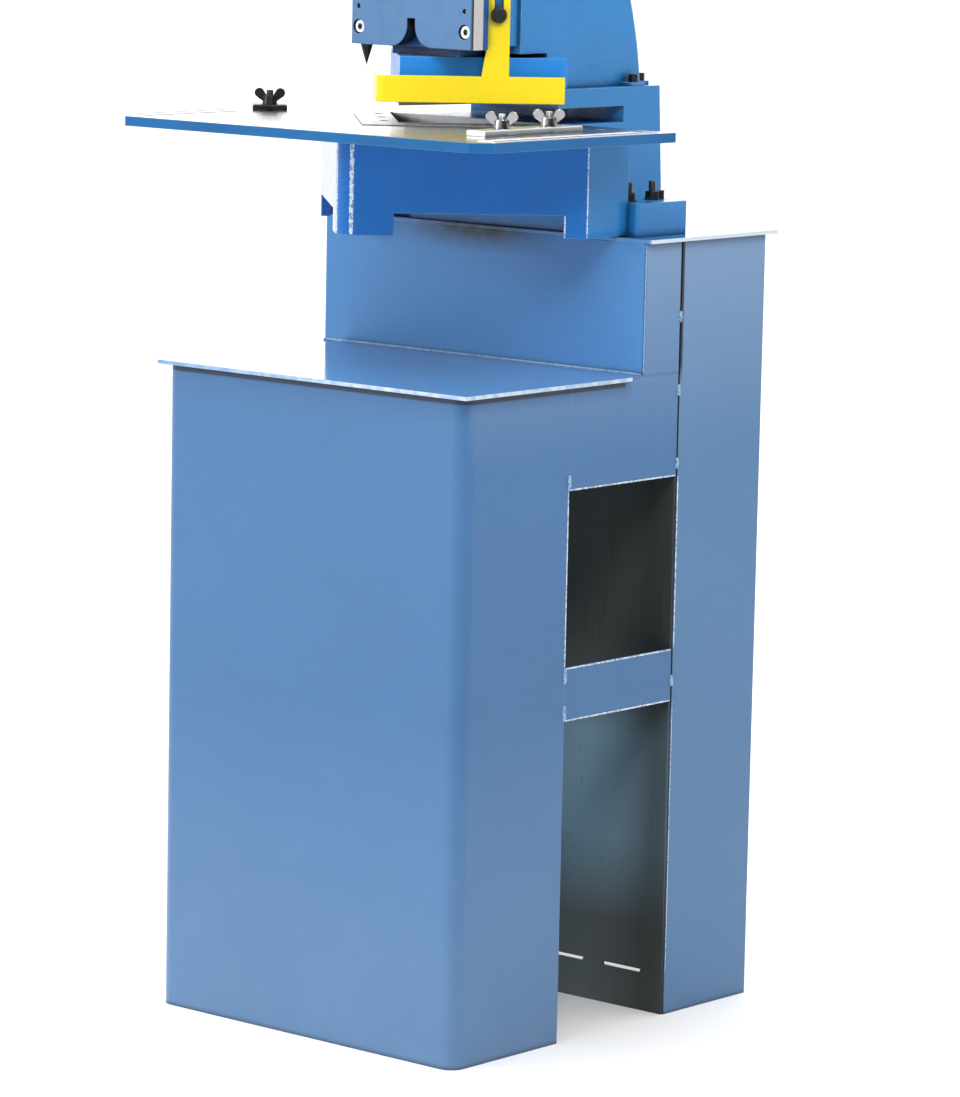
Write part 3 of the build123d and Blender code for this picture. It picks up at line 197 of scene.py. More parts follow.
class StandPaint(bpy.types.PropertyGroup):
    """Satin enamel of the sheet metal stand."""

    colour: tint("Colour", "Enamel of the stand", (0.040, 0.130, 0.288))
    # Painted sheen: a lighter copy of the stand's enamel for the rear shell, which catches more reflection.
    rear_sheen: tint("Faded", "Enamel of the rear shell", (0.065, 0.165, 0.322))
    # Painted light: a brighter copy of the stand's enamel that lifts the panel, shelf and deck out of the
    # shade under the machine.
    shade_lifted: tint("Fresh", "Enamel of the sheltered panel, shelf and deck", (0.048, 0.200, 0.455))
    # Painted highlight: palest enamel on right-facing faces at the upper right, where the light falls.
    lit_colour: tint("Bleached", "Palest enamel, at the upper right", (0.155, 0.252, 0.415))
    # Pale colour on the stand's edges, lips and rims: rubbed paint and also painted highlights.
    rubbed: tint("Rubbed edges", "Cut edges where the enamel is rubbed thin", (0.560, 0.630, 0.700))
    primer: tint("Primer", "Dark primer of the inner wall", (0.070, 0.080, 0.076))
    # Mist on the primer: overspray, and also painted light from the lower opening.
    mist: tint("Mist", "Enamel mist that drifted onto the primer", (0.360, 0.660, 0.880))
    # Lighter tone near the floor: workshop dust, and also painted light bounced up from the floor.
    dust: tint("Dust", "Workshop dust that settles near the floor", (0.170, 0.275, 0.430))
    roughness: fraction("Roughness", "Micro roughness of the enamel", 0.34)
    deck_roughness: fraction("Deck roughness", "Micro roughness of the wiped shelf and deck", 0.14)
    peel: metres("Orange peel", "Height of the sprayed paint's waves", 0.00008)
    lip_end: metres("Lip end", "Depth at which the shelf's right lip ends", 0.0128, -1.0)
    edge: metres("Edge radius", "Rounding that the paint gives to cut edges", 0.0014)
    # The crease reach is how far the painted shade spreads out of corners and gaps.
    crease: metres("Crease reach", "How far grime spreads out of corners and gaps", 0.007)


class MachinePaint(bpy.types.PropertyGroup):
    """Gloss enamel of the castings, the table's edges and the guard."""

    colour: tint("Colour", "Enamel of the castings", (0.017, 0.176, 0.435))
    # Painted shade: a deeper copy of the casting enamel for the die housing's faces under the table.
    housing: tint("Housing", "Deeper enamel of the die housing", (0.004, 0.128, 0.440))
    # Painted light: a brighter copy of the casting enamel that lifts the knife holder out of the shade of
    # the guard.
    holder: tint("Knife holder", "Enamel of the knife holder", (0.018, 0.210, 0.640))
    # Painted shade: a dark copy of the casting enamel for the ram, whose side lies in shadow between the
    # face plate and the guard's strap.
    slide: tint("Slide", "Dark enamel of the ram, which is oiled", (0.005, 0.070, 0.220))
    rim: tint("Rim", "Enamel of the table's edges", (0.006, 0.092, 0.250))
    # Pale colour on the edges of the castings and the table: rubbed enamel and also painted highlights.
    worn_and_lit: tint("Worn edges", "Edges where the enamel is rubbed pale", (0.300, 0.480, 0.720))
    plate: tint("Face plate", "Lighter enamel of the ram's face plate", (0.055, 0.155, 0.325))
    # Bare milled steel on the plate's sides, whose pale grey is also a painted reflection.
    milled_and_sheen: tint("Machined sides", "Bare sides of the ram's face plate", (0.470, 0.430, 0.440))
    guard: tint("Guard", "Enamel of the guard bar", (0.810, 0.625, 0.008))
    roughness: fraction("Roughness", "Micro roughness of the enamel", 0.28)
    casting: metres("Casting grain", "Height of the sand grain under the paint", 0.00012)
    edge: metres("Edge radius", "Rounding of the painted edges", 0.0016)
    # The crease reach is how far the painted shade spreads out of corners and gaps.
    crease: metres("Crease reach", "How far grime spreads out of corners and gaps", 0.010)


class SteelFinish(bpy.types.PropertyGroup):
    """Bare, blackened and plated steel, the scale strips and the wiper."""

    ground: tint("Ground steel", "Surface ground tool steel", (0.40, 0.405, 0.41))
    knife: tint("Knife steel", "Hardened steel of the upper knives", (0.20, 0.20, 0.21))
    black: tint("Black oxide", "Blackened screws and nuts", (0.020, 0.020, 0.022))
    zinc: tint("Zinc", "Zinc plated bolts and bars", (0.62, 0.64, 0.66))
    chrome: tint("Chrome", "Polished plating", (0.50, 0.51, 0.53))
    nickel: tint("Nickel", "Worn plating of the wing nuts", (0.46, 0.46, 0.47))
    strip: tint("Scale strip", "White anodised aluminium strip", (0.86, 0.86, 0.84))
    rubber: tint("Rubber", "Wiper of the piston rod", (0.018, 0.018, 0.018))


class WeldSizes(bpy.types.PropertyGroup):
    """Painted weld beads of the stand."""

    width: metres("Width", "Width of a bead", 0.0045, 0.001)
    crown: metres("Crown", "Height of a bead", 0.0016)
    ripple: metres("Ripple", "Distance between ripples", 0.0016, 0.0005)
    stitch: metres("Stitch", "Length of one stitch in a seam", 0.012, 0.002)
    pitch: metres("Pitch", "Distance between stitches", 0.0756, 0.02)


class RubbedEdges(bpy.types.PropertyGroup):
    """Edges and bends where the paint is rubbed pale, which are also painted highlights."""

    # Undercoat of the rubbed strips, which is also the colour of their painted highlights.
    colour: tint("Colour", "Undercoat that shows where the paint is rubbed off", (0.640, 0.710, 0.780))
    seam: tint("Seam", "Thin paint on welds and fillets", (0.270, 0.400, 0.560))
    width: metres("Width", "Width of a rubbed cut edge", 0.0017, 0.0005)
    nose_width: metres("Nose width", "Width of the rubbed band on the die housing's nose", 0.0044, 0.0005)
    nose_radius: metres("Nose radius", "Radius of the die housing's nose", 0.020, 0.001)
    nose_turn: degrees("Nose turn", "Turn of the rubbed band from the front", 30)
    bend_setback: metres("Bend setback", "Depth of the side bends behind the housing's nose", 0.1664, 0.01)
    arch_side: metres("Arch side", "Outer end of the arches from the middle", 0.16594, 0.01)
    arch_setback: metres("Arch setback", "Depth of that end behind the housing's nose", 0.15005, 0.01)
    arch_height: metres("Arch height", "Height of the arches", 0.023, 0.001)
    foot_width: metres("Foot width", "Width of the fillet along the foot of the wall", 0.0034, 0.0005)
    crown: metres("Crown", "Height of the rubbed coat", 0.0003)


class RailSizes(bpy.types.PropertyGroup):
    """Rail at the foot of the inner wall, with the tabs that are welded to the wall."""

    slit: metres("Slit", "Height of the slit above the rail", 0.004, 0.0005)
    inner_tab: metres("Inner tab", "Middle of the inner tabs from the centre", 0.1245, 0.01)
    outer_tab: metres("Outer tab", "Start of the end tabs from the centre", 0.1885, 0.01)
    tab_width: metres("Tab width", "Width of an inner tab", 0.027, 0.002)
    melt: metres("Melt", "Run of the melted corner of a tab", 0.0016, 0.0002)


class ScaleMarks(bpy.types.PropertyGroup):
    """Printed divisions and numbers of the table scales."""

    division: metres("Division", "Distance between the lines", 0.001, 0.0005)
    line: metres("Line", "Width of a printed line", 0.00025, 0.0001)
    figure: metres("Figure height", "Height of the numbers", 0.0042, 0.001)
    ink: tint("Ink", "Printing ink", (0.012, 0.012, 0.014))


class ThreadSizes(bpy.types.PropertyGroup):
    """Screw threads of the hold-down studs and the stop bolts."""

    pitch: metres("Pitch", "Thread pitch of the studs and bolts", 0.00125, 0.0003)
    depth: metres("Depth", "Depth of the thread", 0.00068, 0.0001)
    radius: metres("Radius", "Outer radius of the studs and bolts", 0.004, 0.001)
    head: metres("Head", "Height of the stop bolts' square heads", 0.006, 0.001)
    sides: IntProperty(name="Sides", description="Points round a thread", default=28, min=8, max=64)


class StageSetup(bpy.types.PropertyGroup):
    """Floor, light and camera."""

    azimuth: degrees("Azimuth", "Turn of the camera to the right of the front", 40.6)
    tilt: degrees("Tilt", "Angle at which the camera looks down", 8.58)
    roll: degrees("Roll", "Turn of the camera about its own line of sight", 1.16)
    place: spot("Place", "Where the camera stands", (3.3305, -3.83675, 1.2449))
    lens: amount("Lens", "Focal length in millimetres", 161.57, "CAMERA")
    floor: tint("Floor", "Pale studio floor", (0.92, 0.92, 0.92))
    reach: metres("Floor reach", "Half the width of the floor", 70.0, 2.0)
    level: amount("Level", "Strength of the white surroundings at eye level", 0.76)
    overhead: amount("Overhead", "How much stronger they are straight above", 1.20)
    glow: amount("Glow", "How much stronger they are behind the object", 1.6)
    shade: amount("Shade", "How much weaker they are on the camera's right", 1.04)
    shade_turn: degrees("Shade turn", "Turn of the shade to the right of the front", 78)
    key: amount("Key light", "Power of the soft light at the left", 72.0, "POWER")
    key_size: metres("Key size", "Width of the soft light", 1.4, 0.1)
    key_place: spot("Key place", "Where the soft light hangs", (-2.45, -3.5, 2.1))
    fill: amount("Fill light", "Power of the soft light over the right of the table", 18.0, "POWER")
    fill_size: metres("Fill size", "Width of the fill light", 0.7, 0.1)
    fill_place: spot("Fill place", "Where the fill light hangs", (1.15, -0.75, 1.95))


def add_node(tree, kind, sockets=None, **settings):
    """Add a shader node. A socket, by name or number, takes a value or another node's output to link."""
    made = tree.nodes.new(kind)
    for name, value in settings.items():
        setattr(made, name, value)
    for key, value in (sockets or {}).items():
        if isinstance(value, bpy.types.NodeSocket):
            tree.links.new(value, made.inputs[key])
        else:
            made.inputs[key].default_value = value
    return made


def start_material(name):
    """New empty node material, given back with its tree."""
    made = bpy.data.materials.new(name)
    made.use_nodes = True
    made.node_tree.nodes.clear()
    return made, made.node_tree


def surfaced(made, sockets):
    """Material with its one surface shader, whose sockets take these values and outputs."""
    shader = add_node(made.node_tree, "ShaderNodeBsdfPrincipled", sockets)
    add_node(made.node_tree, "ShaderNodeOutputMaterial", {"Surface": shader.outputs["BSDF"]})
    return made


def noise(tree, scale, detail, stretch=EVEN):
    """Noise with about this many features to the metre, stretched along the axes of the piece."""
    place = add_node(tree, "ShaderNodeTexCoord").outputs["Object"]
    turned = add_node(tree, "ShaderNodeMapping", {"Vector": place, "Scale": stretch}).outputs["Vector"]
    return add_node(
        tree, "ShaderNodeTexNoise", {"Vector": turned, "Scale": scale, "Detail": detail}
    ).outputs["Fac"]


def place_along(tree, axis):
    """Place of the shaded point along an axis of the frame, in metres."""
    place = add_node(tree, "ShaderNodeTexCoord").outputs["Object"]
    return add_node(tree, "ShaderNodeSeparateXYZ", {"Vector": place}).outputs[axis]


def remap(tree, value, span, ends):
    """Straight line from one end to the other over a span of the value, held level outside it."""
    return add_node(
        tree, "ShaderNodeMapRange",
        {"Value": value, "From Min": span[0], "From Max": span[1], "To Min": ends[0], "To Max": ends[1]},
    ).outputs["Result"]


def patches(tree, scale, detail, span, ends, stretch=EVEN):
    """Noise made into patches: one end where it is below the span, the other where it is above."""
    return remap(tree, noise(tree, scale, detail, stretch), span, ends)


def ramp(tree, axis, span, ends):
    """Value that goes from one end to the other over a span along an axis of the frame."""
    return remap(tree, place_along(tree, axis), span, ends)


def reckon(tree, operation, *values):
    """Result of a Math node on these values."""
    return add_node(tree, "ShaderNodeMath", dict(enumerate(values)), operation=operation).outputs["Value"]


def times(tree, first, second):
    """Product of two values."""
    return reckon(tree, "MULTIPLY", first, second)


def dot(tree, first, second):
    """Cosine of the angle between two directions."""
    made = add_node(tree, "ShaderNodeVectorMath", {0: first, 1: second}, operation="DOT_PRODUCT")
    return made.outputs["Value"]


def mix_colours(tree, share, first, second):
    """Second colour laid over the first by a share from 0 to 1."""
    return add_node(tree, "ShaderNodeMix", {0: share, 6: first, 7: second}, data_type="RGBA").outputs[2]


def solid(colour, gain=1.0):
    """Colour with full opacity, made lighter or darker by a gain."""
    return (*[min(1.0, channel * gain) for channel in colour], 1.0)


def shades(tree, share, colour, dark, light):
    """Colour that goes from its dark gain to its light gain by a share from 0 to 1."""
    return mix_colours(tree, share, solid(colour, dark), solid(colour, light))


def soft_normal(tree, radius):
    """Surface normal that turns smoothly round edges, as a small rounding of this radius does."""
    return add_node(tree, "ShaderNodeBevel", {"Radius": radius}, samples=6).outputs["Normal"]


def bump(tree, height, distance, strength, normal):
    """Normal tilted by a height field whose range is this distance."""
    return add_node(
        tree, "ShaderNodeBump",
        {"Height": height, "Distance": distance, "Strength": strength, "Normal": normal},
    ).outputs["Normal"]


def worn_and_lit_edges(tree, under, rounded, share, bare, span=EDGE_SPAN):
    """Bare colour laid over edges by a share, as rubbed edges and also as painted highlights. An edge is
    where the rounded normal leaves the flat one.
    """
    flat = add_node(tree, "ShaderNodeNewGeometry").outputs["True Normal"]
    edge = remap(tree, dot(tree, rounded, flat), span, RISE)
    return mix_colours(tree, times(tree, edge, share), under, bare)


def paint_crease_shade(tree, under, reach, share, crease_shade_colour):
    """Painted shade: a dark colour laid by a share into corners, seams, gaps and hollows closer than this
    reach.
    """
    open_share = add_node(tree, "ShaderNodeAmbientOcclusion", {"Distance": reach}, samples=8).outputs["AO"]
    closed = remap(tree, open_share, (0.92, 0.40), RISE)
    return mix_colours(tree, times(tree, closed, share), under, crease_shade_colour)


def facing(tree, axis, span):
    """Share that rises from 0 to 1 as the normal's part along this axis goes over a span."""
    flat = add_node(tree, "ShaderNodeNewGeometry").outputs["True Normal"]
    part = add_node(tree, "ShaderNodeSeparateXYZ", {"Vector": flat}).outputs[axis]
    return remap(tree, part, span, RISE)


def upright_share(tree):
    """Share of 1 on upright faces."""
    return times(tree, facing(tree, "Z", (0.3, 0.1)), facing(tree, "Z", (-0.3, -0.1)))


def rubbed_and_lit_lip(tree, under, colour, plain, end):
    """Upright faces of a plate rubbed to the undercoat in patches, most at the right, which is also a
    painted highlight where the light falls, and plain paint behind the lip's end."""
    upright = upright_share(tree)
    ragged = patches(tree, 90.0, 5.0, (0.40, 0.60), (0.45, 0.85))
    spread = ramp(tree, "X", (-0.22, 0.12), (0.25, 1.0))
    front = times(tree, ramp(tree, "Y", (end, end + FADE), FALL), times(tree, ragged, spread))
    rubbed = mix_colours(tree, times(tree, upright, front), under, solid(colour))
    behind = times(tree, upright, ramp(tree, "Y", (end, end + FADE), RISE))
    return mix_colours(tree, behind, rubbed, solid(plain))


def rubbed_and_lit_rim(tree, under, colour):
    """Upright faces of a plate rubbed to the undercoat, but not those that look to the front; the pale rims
    are also painted highlights.
    """
    sides = times(tree, upright_share(tree), facing(tree, "Y", (-0.8, -0.5)))
    return mix_colours(tree, times(tree, sides, 0.85), under, solid(colour))


def lip_shadow(tree, under, colour, lip, end):
    """Painted shadow: a dark line below a lip of this height, in front of this depth."""
    below = ramp(tree, "Z", (lip - 0.0075, lip - 0.0055), (0.0, 0.9))
    front = ramp(tree, "Y", (end, end + FADE), FALL)
    return mix_colours(tree, times(tree, below, front), under, solid(colour, 0.12))


def seam_shade(tree, under, colour, seam, shelf):
    """Painted shade along an upright seam at this depth, above the shelf."""
    along = ramp(tree, "Y", (seam + 0.0024, seam + 0.0040), (0.95, 0.0))
    above = ramp(tree, "Z", (shelf - 0.01, shelf + 0.01), RISE)
    return mix_colours(tree, times(tree, along, above), under, solid(colour, 0.06))


def housing_shadow(tree, under, top):
    """Painted shadow under the die housing, dark and ragged, on the deck of this height and down the wall.
    """
    middle = times(tree, ramp(tree, "X", (-0.13, -0.04), RISE), ramp(tree, "X", (0.02, 0.11), FALL))
    upper = ramp(tree, "Z", (top - 0.025, top - 0.004), (0.0, 0.9))
    front = ramp(tree, "Y", (0.06, 0.10), FALL)
    ragged = patches(tree, 70.0, 5.0, (0.3, 0.6), (0.7, 1.0))
    share = times(tree, times(tree, middle, upper), times(tree, front, ragged))
    return mix_colours(tree, share, under, HOUSING_SHADOW)


def sheet_enamel(name, colour, look, roughness, layer, coat=0.0, side=None, dust=0.46):
    """Satin enamel on sheet steel: cloudy coats, orange peel, a lighter tone near the floor that is dust and
    also painted light from the floor, a painted highlight at the upper right where the light falls, rubbed
    edges that are also painted highlights, and painted shade in creases. Faces that look to the right may
    have a colour of their own. A layer is laid over the edges; the callers give rubbed lips and rims that
    are also painted highlights, painted shade beside a seam, and painted shadow under a lip and under the
    die housing."""
    made, tree = start_material(name)
    coats = shades(tree, patches(tree, 4.0, 4.0, NOISE_MIDDLE, RISE), colour, 0.96, 1.04)
    right = facing(tree, "X", (0.80, 0.98))
    # Right-facing faces may take a colour of their own; the tall panel's keep the stand's enamel while its
    # front takes the brighter copy, which is painted light.
    turned = mix_colours(tree, right, coats, solid(side)) if side else coats
    grain = patches(tree, 420.0, 3.0, (0.35, 0.65), (0.0, 0.08))
    speckled = mix_colours(tree, grain, turned, solid(colour, 1.6))
    scuffs = patches(tree, 9.0, 8.0, (0.63, 0.72), (0.0, 0.10), (1.0, 1.0, 7.0))
    scuffed = mix_colours(tree, scuffs, speckled, solid(colour, 1.45))
    # Painted highlight on right-facing faces towards the top, where the light falls.
    lit = times(tree, right, ramp(tree, "Z", (0.60, 0.80), (0.0, 0.9)))
    lit_painted = mix_colours(tree, lit, scuffed, solid(look.lit_colour))
    # Lighter tone near the floor: dust, and also painted light bounced up from the floor.
    low = ramp(tree, "Z", (0.0, 0.35), (dust, 0.0))
    dust_and_light_share = times(tree, low, patches(tree, 24.0, 6.0, NOISE_MIDDLE, (0.8, 1.0)))
    lightened = mix_colours(tree, dust_and_light_share, lit_painted, solid(look.dust))
    rounded = soft_normal(tree, look.edge)
    ragged = patches(tree, 60.0, 5.0, (0.2, 0.6), (0.14, 0.20))
    # Pale edges: rubbed paint and also painted highlights.
    edged = worn_and_lit_edges(tree, lightened, rounded, ragged, solid(look.rubbed), (0.97, 0.80))
    return surfaced(made, {
        # Painted shade in creases and gaps, laid over the base colour.
        "Base Color": paint_crease_shade(tree, layer(tree, edged), look.crease, 0.85, solid(colour, 0.10)),
        "Roughness": patches(tree, 45.0, 5.0, NOISE_MIDDLE, (roughness * 0.85, roughness * 1.2)),
        "Normal": bump(tree, noise(tree, 330.0, 2.0), look.peel, 0.5, rounded),
        "Specular IOR Level": 0.4,
        "Coat Weight": coat,
        "Coat Roughness": 0.05,
    })


def dark_primer(name, look, mist_top, outside):
    """Matt primer brushed on thin: streaks of the brush, specks of rust, a lighter tone deep inside and a
    darker tone towards the openings on the right, which are painted light and painted shade that even out
    the light falling in, and a mist of the stand's enamel, strongest low and deep inside, that is partly
    overspray which drifted in through the lower opening and partly painted light from that opening. Left of
    the outside place the stand's enamel covers it."""
    made, tree = start_material(name)
    streaks = noise(tree, 22.0, 6.0, (12.0, 12.0, 0.6))
    # Painted light and painted shade: the primer is lighter deep inside and darker towards the openings on
    # the right, which evens out the light that falls in.
    darkened, lightened = (
        shades(tree, streaks, look.primer, 0.75 * gain, 1.30 * gain) for gain in (0.45, 2.2)
    )
    brushed = mix_colours(tree, ramp(tree, "X", (0.07, 0.19), FALL), darkened, lightened)
    # Mist of the stand's enamel low inside: overspray, and also painted light from the lower opening, weaker
    # near the opening.
    rising = ramp(tree, "Z", (0.09, 0.18), (0.05, 0.85))
    ending = ramp(tree, "Z", (mist_top - 0.045, mist_top + 0.01), FALL)
    inside = ramp(tree, "X", (-0.05, 0.0), RISE)
    inward = times(tree, ramp(tree, "X", (0.10, 0.20), (0.80, 0.12)), inside)
    misty = mix_colours(tree, times(tree, times(tree, rising, ending), inward), brushed, solid(look.mist))
    rusted = mix_colours(tree, patches(tree, 160.0, 6.0, (0.64, 0.74), (0.0, 0.4)), misty, RUST)
    covered = ramp(tree, "X", (outside - FADE, outside), FALL)
    return surfaced(made, {
        "Base Color": mix_colours(tree, covered, rusted, solid(look.colour)),
        "Roughness": remap(tree, streaks, NOISE_SPAN, (0.55, 0.75)),
        "Normal": bump(tree, streaks, 0.00006, 0.4, soft_normal(tree, look.edge)),
    })


def gloss_enamel(name, colour, look, gloss, cast=True, coat=0.08, coat_ior=1.5, side=None):
    """Gloss enamel over a casting's sand grain or over smooth bar, rubbed pale on its edges, which is also a
    painted highlight, with painted shade in its creases. Faces that look to the right may have a colour of
    their own, which is painted light where the light falls from the right."""
    made, tree = start_material(name)
    coats = shades(tree, patches(tree, 11.0, 4.0, NOISE_MIDDLE, RISE), colour, 0.94, 1.06)
    # Right-facing faces may take a colour of their own, painted light where the light falls from the right.
    turned = mix_colours(tree, facing(tree, "X", (0.75, 0.98)), coats, solid(side)) if side else coats
    specks = patches(tree, 700.0, 2.0, (0.55, 0.75), (0.0, 0.16))
    speckled = mix_colours(tree, specks, turned, solid(colour, 1.7))
    rounded = soft_normal(tree, look.edge)
    ragged = patches(tree, 90.0, 5.0, (0.25, 0.6), (0.35, 0.85))
    pale = solid(look.worn_and_lit) if cast else solid(colour, 1.2)
    # Pale edges: rubbed enamel and also painted highlights.
    edged = worn_and_lit_edges(tree, speckled, rounded, ragged, pale)
    fineness, depth = (520.0, 0.5) if cast else (260.0, 0.25)
    return surfaced(made, {
        # Painted shade in creases and gaps, laid over the base colour.
        "Base Color": paint_crease_shade(tree, edged, look.crease, 0.75, solid(colour, 0.08)),
        "Roughness": patches(tree, 60.0, 4.0, NOISE_MIDDLE, (look.roughness - 0.06, look.roughness + 0.08)),
        "Normal": bump(tree, noise(tree, fineness, 3.0), look.casting, depth, rounded),
        "Specular IOR Level": gloss,
        "Coat Weight": coat,
        "Coat IOR": coat_ior,
        "Coat Roughness": 0.12,
    })


def plate_finish(name, look, half_width):
    """Face plate of the ram: smooth enamel on its front, milled bare outer sides with lines along the
    height, whose pale grey is also a painted reflection, and painted shade on the walls in its slot and
    below, with painted shade in its creases."""
    made, tree = start_material(name)
    coats = shades(tree, patches(tree, 14.0, 5.0, NOISE_MIDDLE, RISE), look.plate, 0.94, 1.06)
    lines = noise(tree, 60.0, 4.0, (1.0, 1.0, 0.05))
    # Milled sides: bare steel lines, with a pale grey that is also a painted reflection.
    milled = shades(tree, lines, look.milled_and_sheen, 0.85, 1.15)
    across = reckon(tree, "ABSOLUTE", place_along(tree, "X"))
    outer = remap(tree, across, (half_width - 0.0006, half_width - 0.0004), RISE)
    # Painted shade on the walls of the slot and below; the outer sides are milled steel.
    sides = mix_colours(tree, outer, SLOT_SHADE, milled)
    faces = mix_colours(tree, facing(tree, "Y", (-0.80, -0.96)), sides, coats)
    rounded = soft_normal(tree, look.edge)
    # Pale edges: rubbed enamel and also painted highlights.
    edged = worn_and_lit_edges(tree, faces, rounded, 0.40, solid(look.worn_and_lit))
    return surfaced(made, {
        # Painted shade in creases and gaps, laid over the base colour.
        "Base Color": paint_crease_shade(tree, edged, look.crease, 0.80, solid(look.colour, 0.10)),
        "Roughness": patches(tree, 60.0, 4.0, NOISE_MIDDLE, (look.roughness - 0.06, look.roughness + 0.08)),
        "Normal": bump(tree, lines, 0.00003, 0.25, rounded),
        "Specular IOR Level": 0.4,
        "Coat Weight": 0.10,
        "Coat Roughness": 0.12,
    })


def ground_table(name, paint, steel):
    """Table plate: surface ground steel on top with fine grinding lines, gloss enamel on its edges."""
    made, tree = start_material(name)
    top = facing(tree, "Z", (0.90, 0.98))
    lines = noise(tree, 30.0, 6.0, ALONG_WIDTH)
    brushed = shades(tree, lines, steel.ground, 0.92, 1.14)
    stained = mix_colours(tree, patches(tree, 14.0, 6.0, (0.56, 0.70), (0.0, 0.22)), brushed, STAIN)
    coats = shades(tree, patches(tree, 11.0, 4.0, NOISE_MIDDLE, RISE), paint.rim, 0.95, 1.15)
    rounded = soft_normal(tree, paint.edge)
    # Pale edges: rubbed enamel and also painted highlights.
    edged = worn_and_lit_edges(tree, coats, rounded, 0.45, solid(paint.worn_and_lit))
    return surfaced(made, {
        "Base Color": mix_colours(tree, top, edged, stained),
        "Metallic": top,
        "Roughness": times(tree, remap(tree, lines, NOISE_SPAN, (0.7, 1.3)), 0.24),
        "Normal": bump(tree, lines, 0.00002, 0.3, rounded),
        "Specular IOR Level": 0.2,
    })


def bare_metal(name, colour, roughness, lay, edge, tarnish):
    """Bare or plated metal: fine lines of the tool along one axis, cloudy tarnish, bright edges and painted
    shade in its hollows.
    """
    made, tree = start_material(name)
    lines = noise(tree, 40.0, 5.0, lay)
    brushed = shades(tree, lines, colour, 0.94, 1.08)
    clouds = patches(tree, 55.0, 5.0, (0.45, 0.75), (0.0, tarnish))
    dulled = mix_colours(tree, clouds, brushed, solid(colour, 0.45))
    rounded = soft_normal(tree, edge)
    edged = worn_and_lit_edges(tree, dulled, rounded, 0.6, solid(colour, 1.5))
    return surfaced(made, {
        # Painted shade in hollows such as screw sockets, laid over the base colour.
        "Base Color": paint_crease_shade(tree, edged, 0.004, 0.85, solid(colour, 0.06)),
        "Roughness": remap(tree, lines, NOISE_SPAN, (roughness * 0.75, roughness * 1.3)),
        "Normal": bump(tree, lines, 0.000006, 0.30, rounded),
        "Metallic": 1.0,
    })


def rubbed_paint(name, colour, under):
    """Undercoat that shows through rubbed paint, with ragged islands of the paint left on it."""
    made, tree = start_material(name)
    islands = patches(tree, 340.0, 6.0, (0.50, 0.58), (0.0, 0.75))
    chalky = shades(tree, patches(tree, 120.0, 4.0, NOISE_MIDDLE, (0.90, 1.10)), colour, 0.9, 1.0)
    return surfaced(made, {
        "Base Color": mix_colours(tree, islands, chalky, solid(under)),
        "Roughness": remap(tree, islands, (0.0, 1.0), (0.55, 0.30)),
        "Normal": bump(tree, islands, 0.00005, 0.5, soft_normal(tree, 0.0003)),
    })


def black_oxide(name, colour):
    """Blackened steel: dark oil film, brown tint in patches and rubbed grey edges that are also painted
    glints.
    """
    made, tree = start_material(name)
    film = mix_colours(tree, patches(tree, 130.0, 5.0, (0.4, 0.7), RISE), solid(colour), BROWN_FILM)
    rounded = soft_normal(tree, 0.0006)
    return surfaced(made, {
        "Base Color": worn_and_lit_edges(tree, film, rounded, 0.55, GREY_STEEL, (0.97, 0.75)),
        "Roughness": patches(tree, 300.0, 3.0, NOISE_MIDDLE, (0.28, 0.46)),
        "Normal": bump(tree, noise(tree, 900.0, 2.0), 0.00003, 0.3, rounded),
        "Metallic": 0.7,
    })


def scale_strip(name, colour):
    """White anodised strip with a faint grain along its length."""
    made, tree = start_material(name)
    lines = noise(tree, 60.0, 4.0, (20.0, 0.5, 1.0))
    return surfaced(made, {
        "Base Color": shades(tree, lines, colour, 0.94, 1.04),
        "Roughness": remap(tree, lines, NOISE_SPAN, (0.30, 0.45)),
        "Normal": bump(tree, lines, 0.00001, 0.2, soft_normal(tree, 0.0003)),
        "Metallic": 0.25,
    })


def printed_ink(name, colour):
    """Printing ink that is slightly uneven."""
    made, tree = start_material(name)
    blots = noise(tree, 900.0, 3.0)
    return surfaced(made, {
        "Base Color": shades(tree, blots, colour, 1.0, 2.0),
        "Roughness": remap(tree, blots, NOISE_SPAN, (0.45, 0.60)),
    })


def wiper_rubber(name, colour):
    """Moulded rubber with a fine matt grain."""
    made, tree = start_material(name)
    grain = noise(tree, 800.0, 4.0)
    return surfaced(made, {
        "Base Color": shades(tree, grain, colour, 1.0, 2.2),
        "Roughness": remap(tree, grain, NOISE_SPAN, (0.65, 0.85)),
        "Normal": bump(tree, grain, 0.00004, 0.4, soft_normal(tree, 0.0005)),
    })


def studio_floor(name, colour):
    """Pale matt floor, clouded so faintly that it reads as one tone."""
    made, tree = start_material(name)
    return surfaced(made, {
        "Base Color": shades(tree, noise(tree, 0.6, 3.0), colour, 0.995, 1.005),
        "Roughness": 0.9,
        "Specular IOR Level": 0.1,
    })


def dress(nodes, material):
    """Give these CAD nodes one material."""
    for name in nodes:
        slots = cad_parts[name].data.materials
        slots.clear()
        slots.append(material)


def mesh_object(name, points, faces, material, smooth=False):
    """Mesh object in the scene, from points and lists of their numbers for each face."""
    mesh = bpy.data.meshes.new(name)
    mesh.from_pydata(np.asarray(points, float).tolist(), [], faces)
    mesh.polygons.foreach_set("use_smooth", np.broadcast_to(smooth, len(faces)))
    mesh.materials.append(material)
    mesh.update()
    made = bpy.data.objects.new(name, mesh)
    bpy.context.scene.collection.objects.link(made)
    return made


def piece(name, points, faces, body, slot, material, smooth=False):
    """Mesh object that rides on a body, with this material. The slot is not used."""
    made = mesh_object(name, points, faces, material, smooth)
    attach(made, body)
    return made


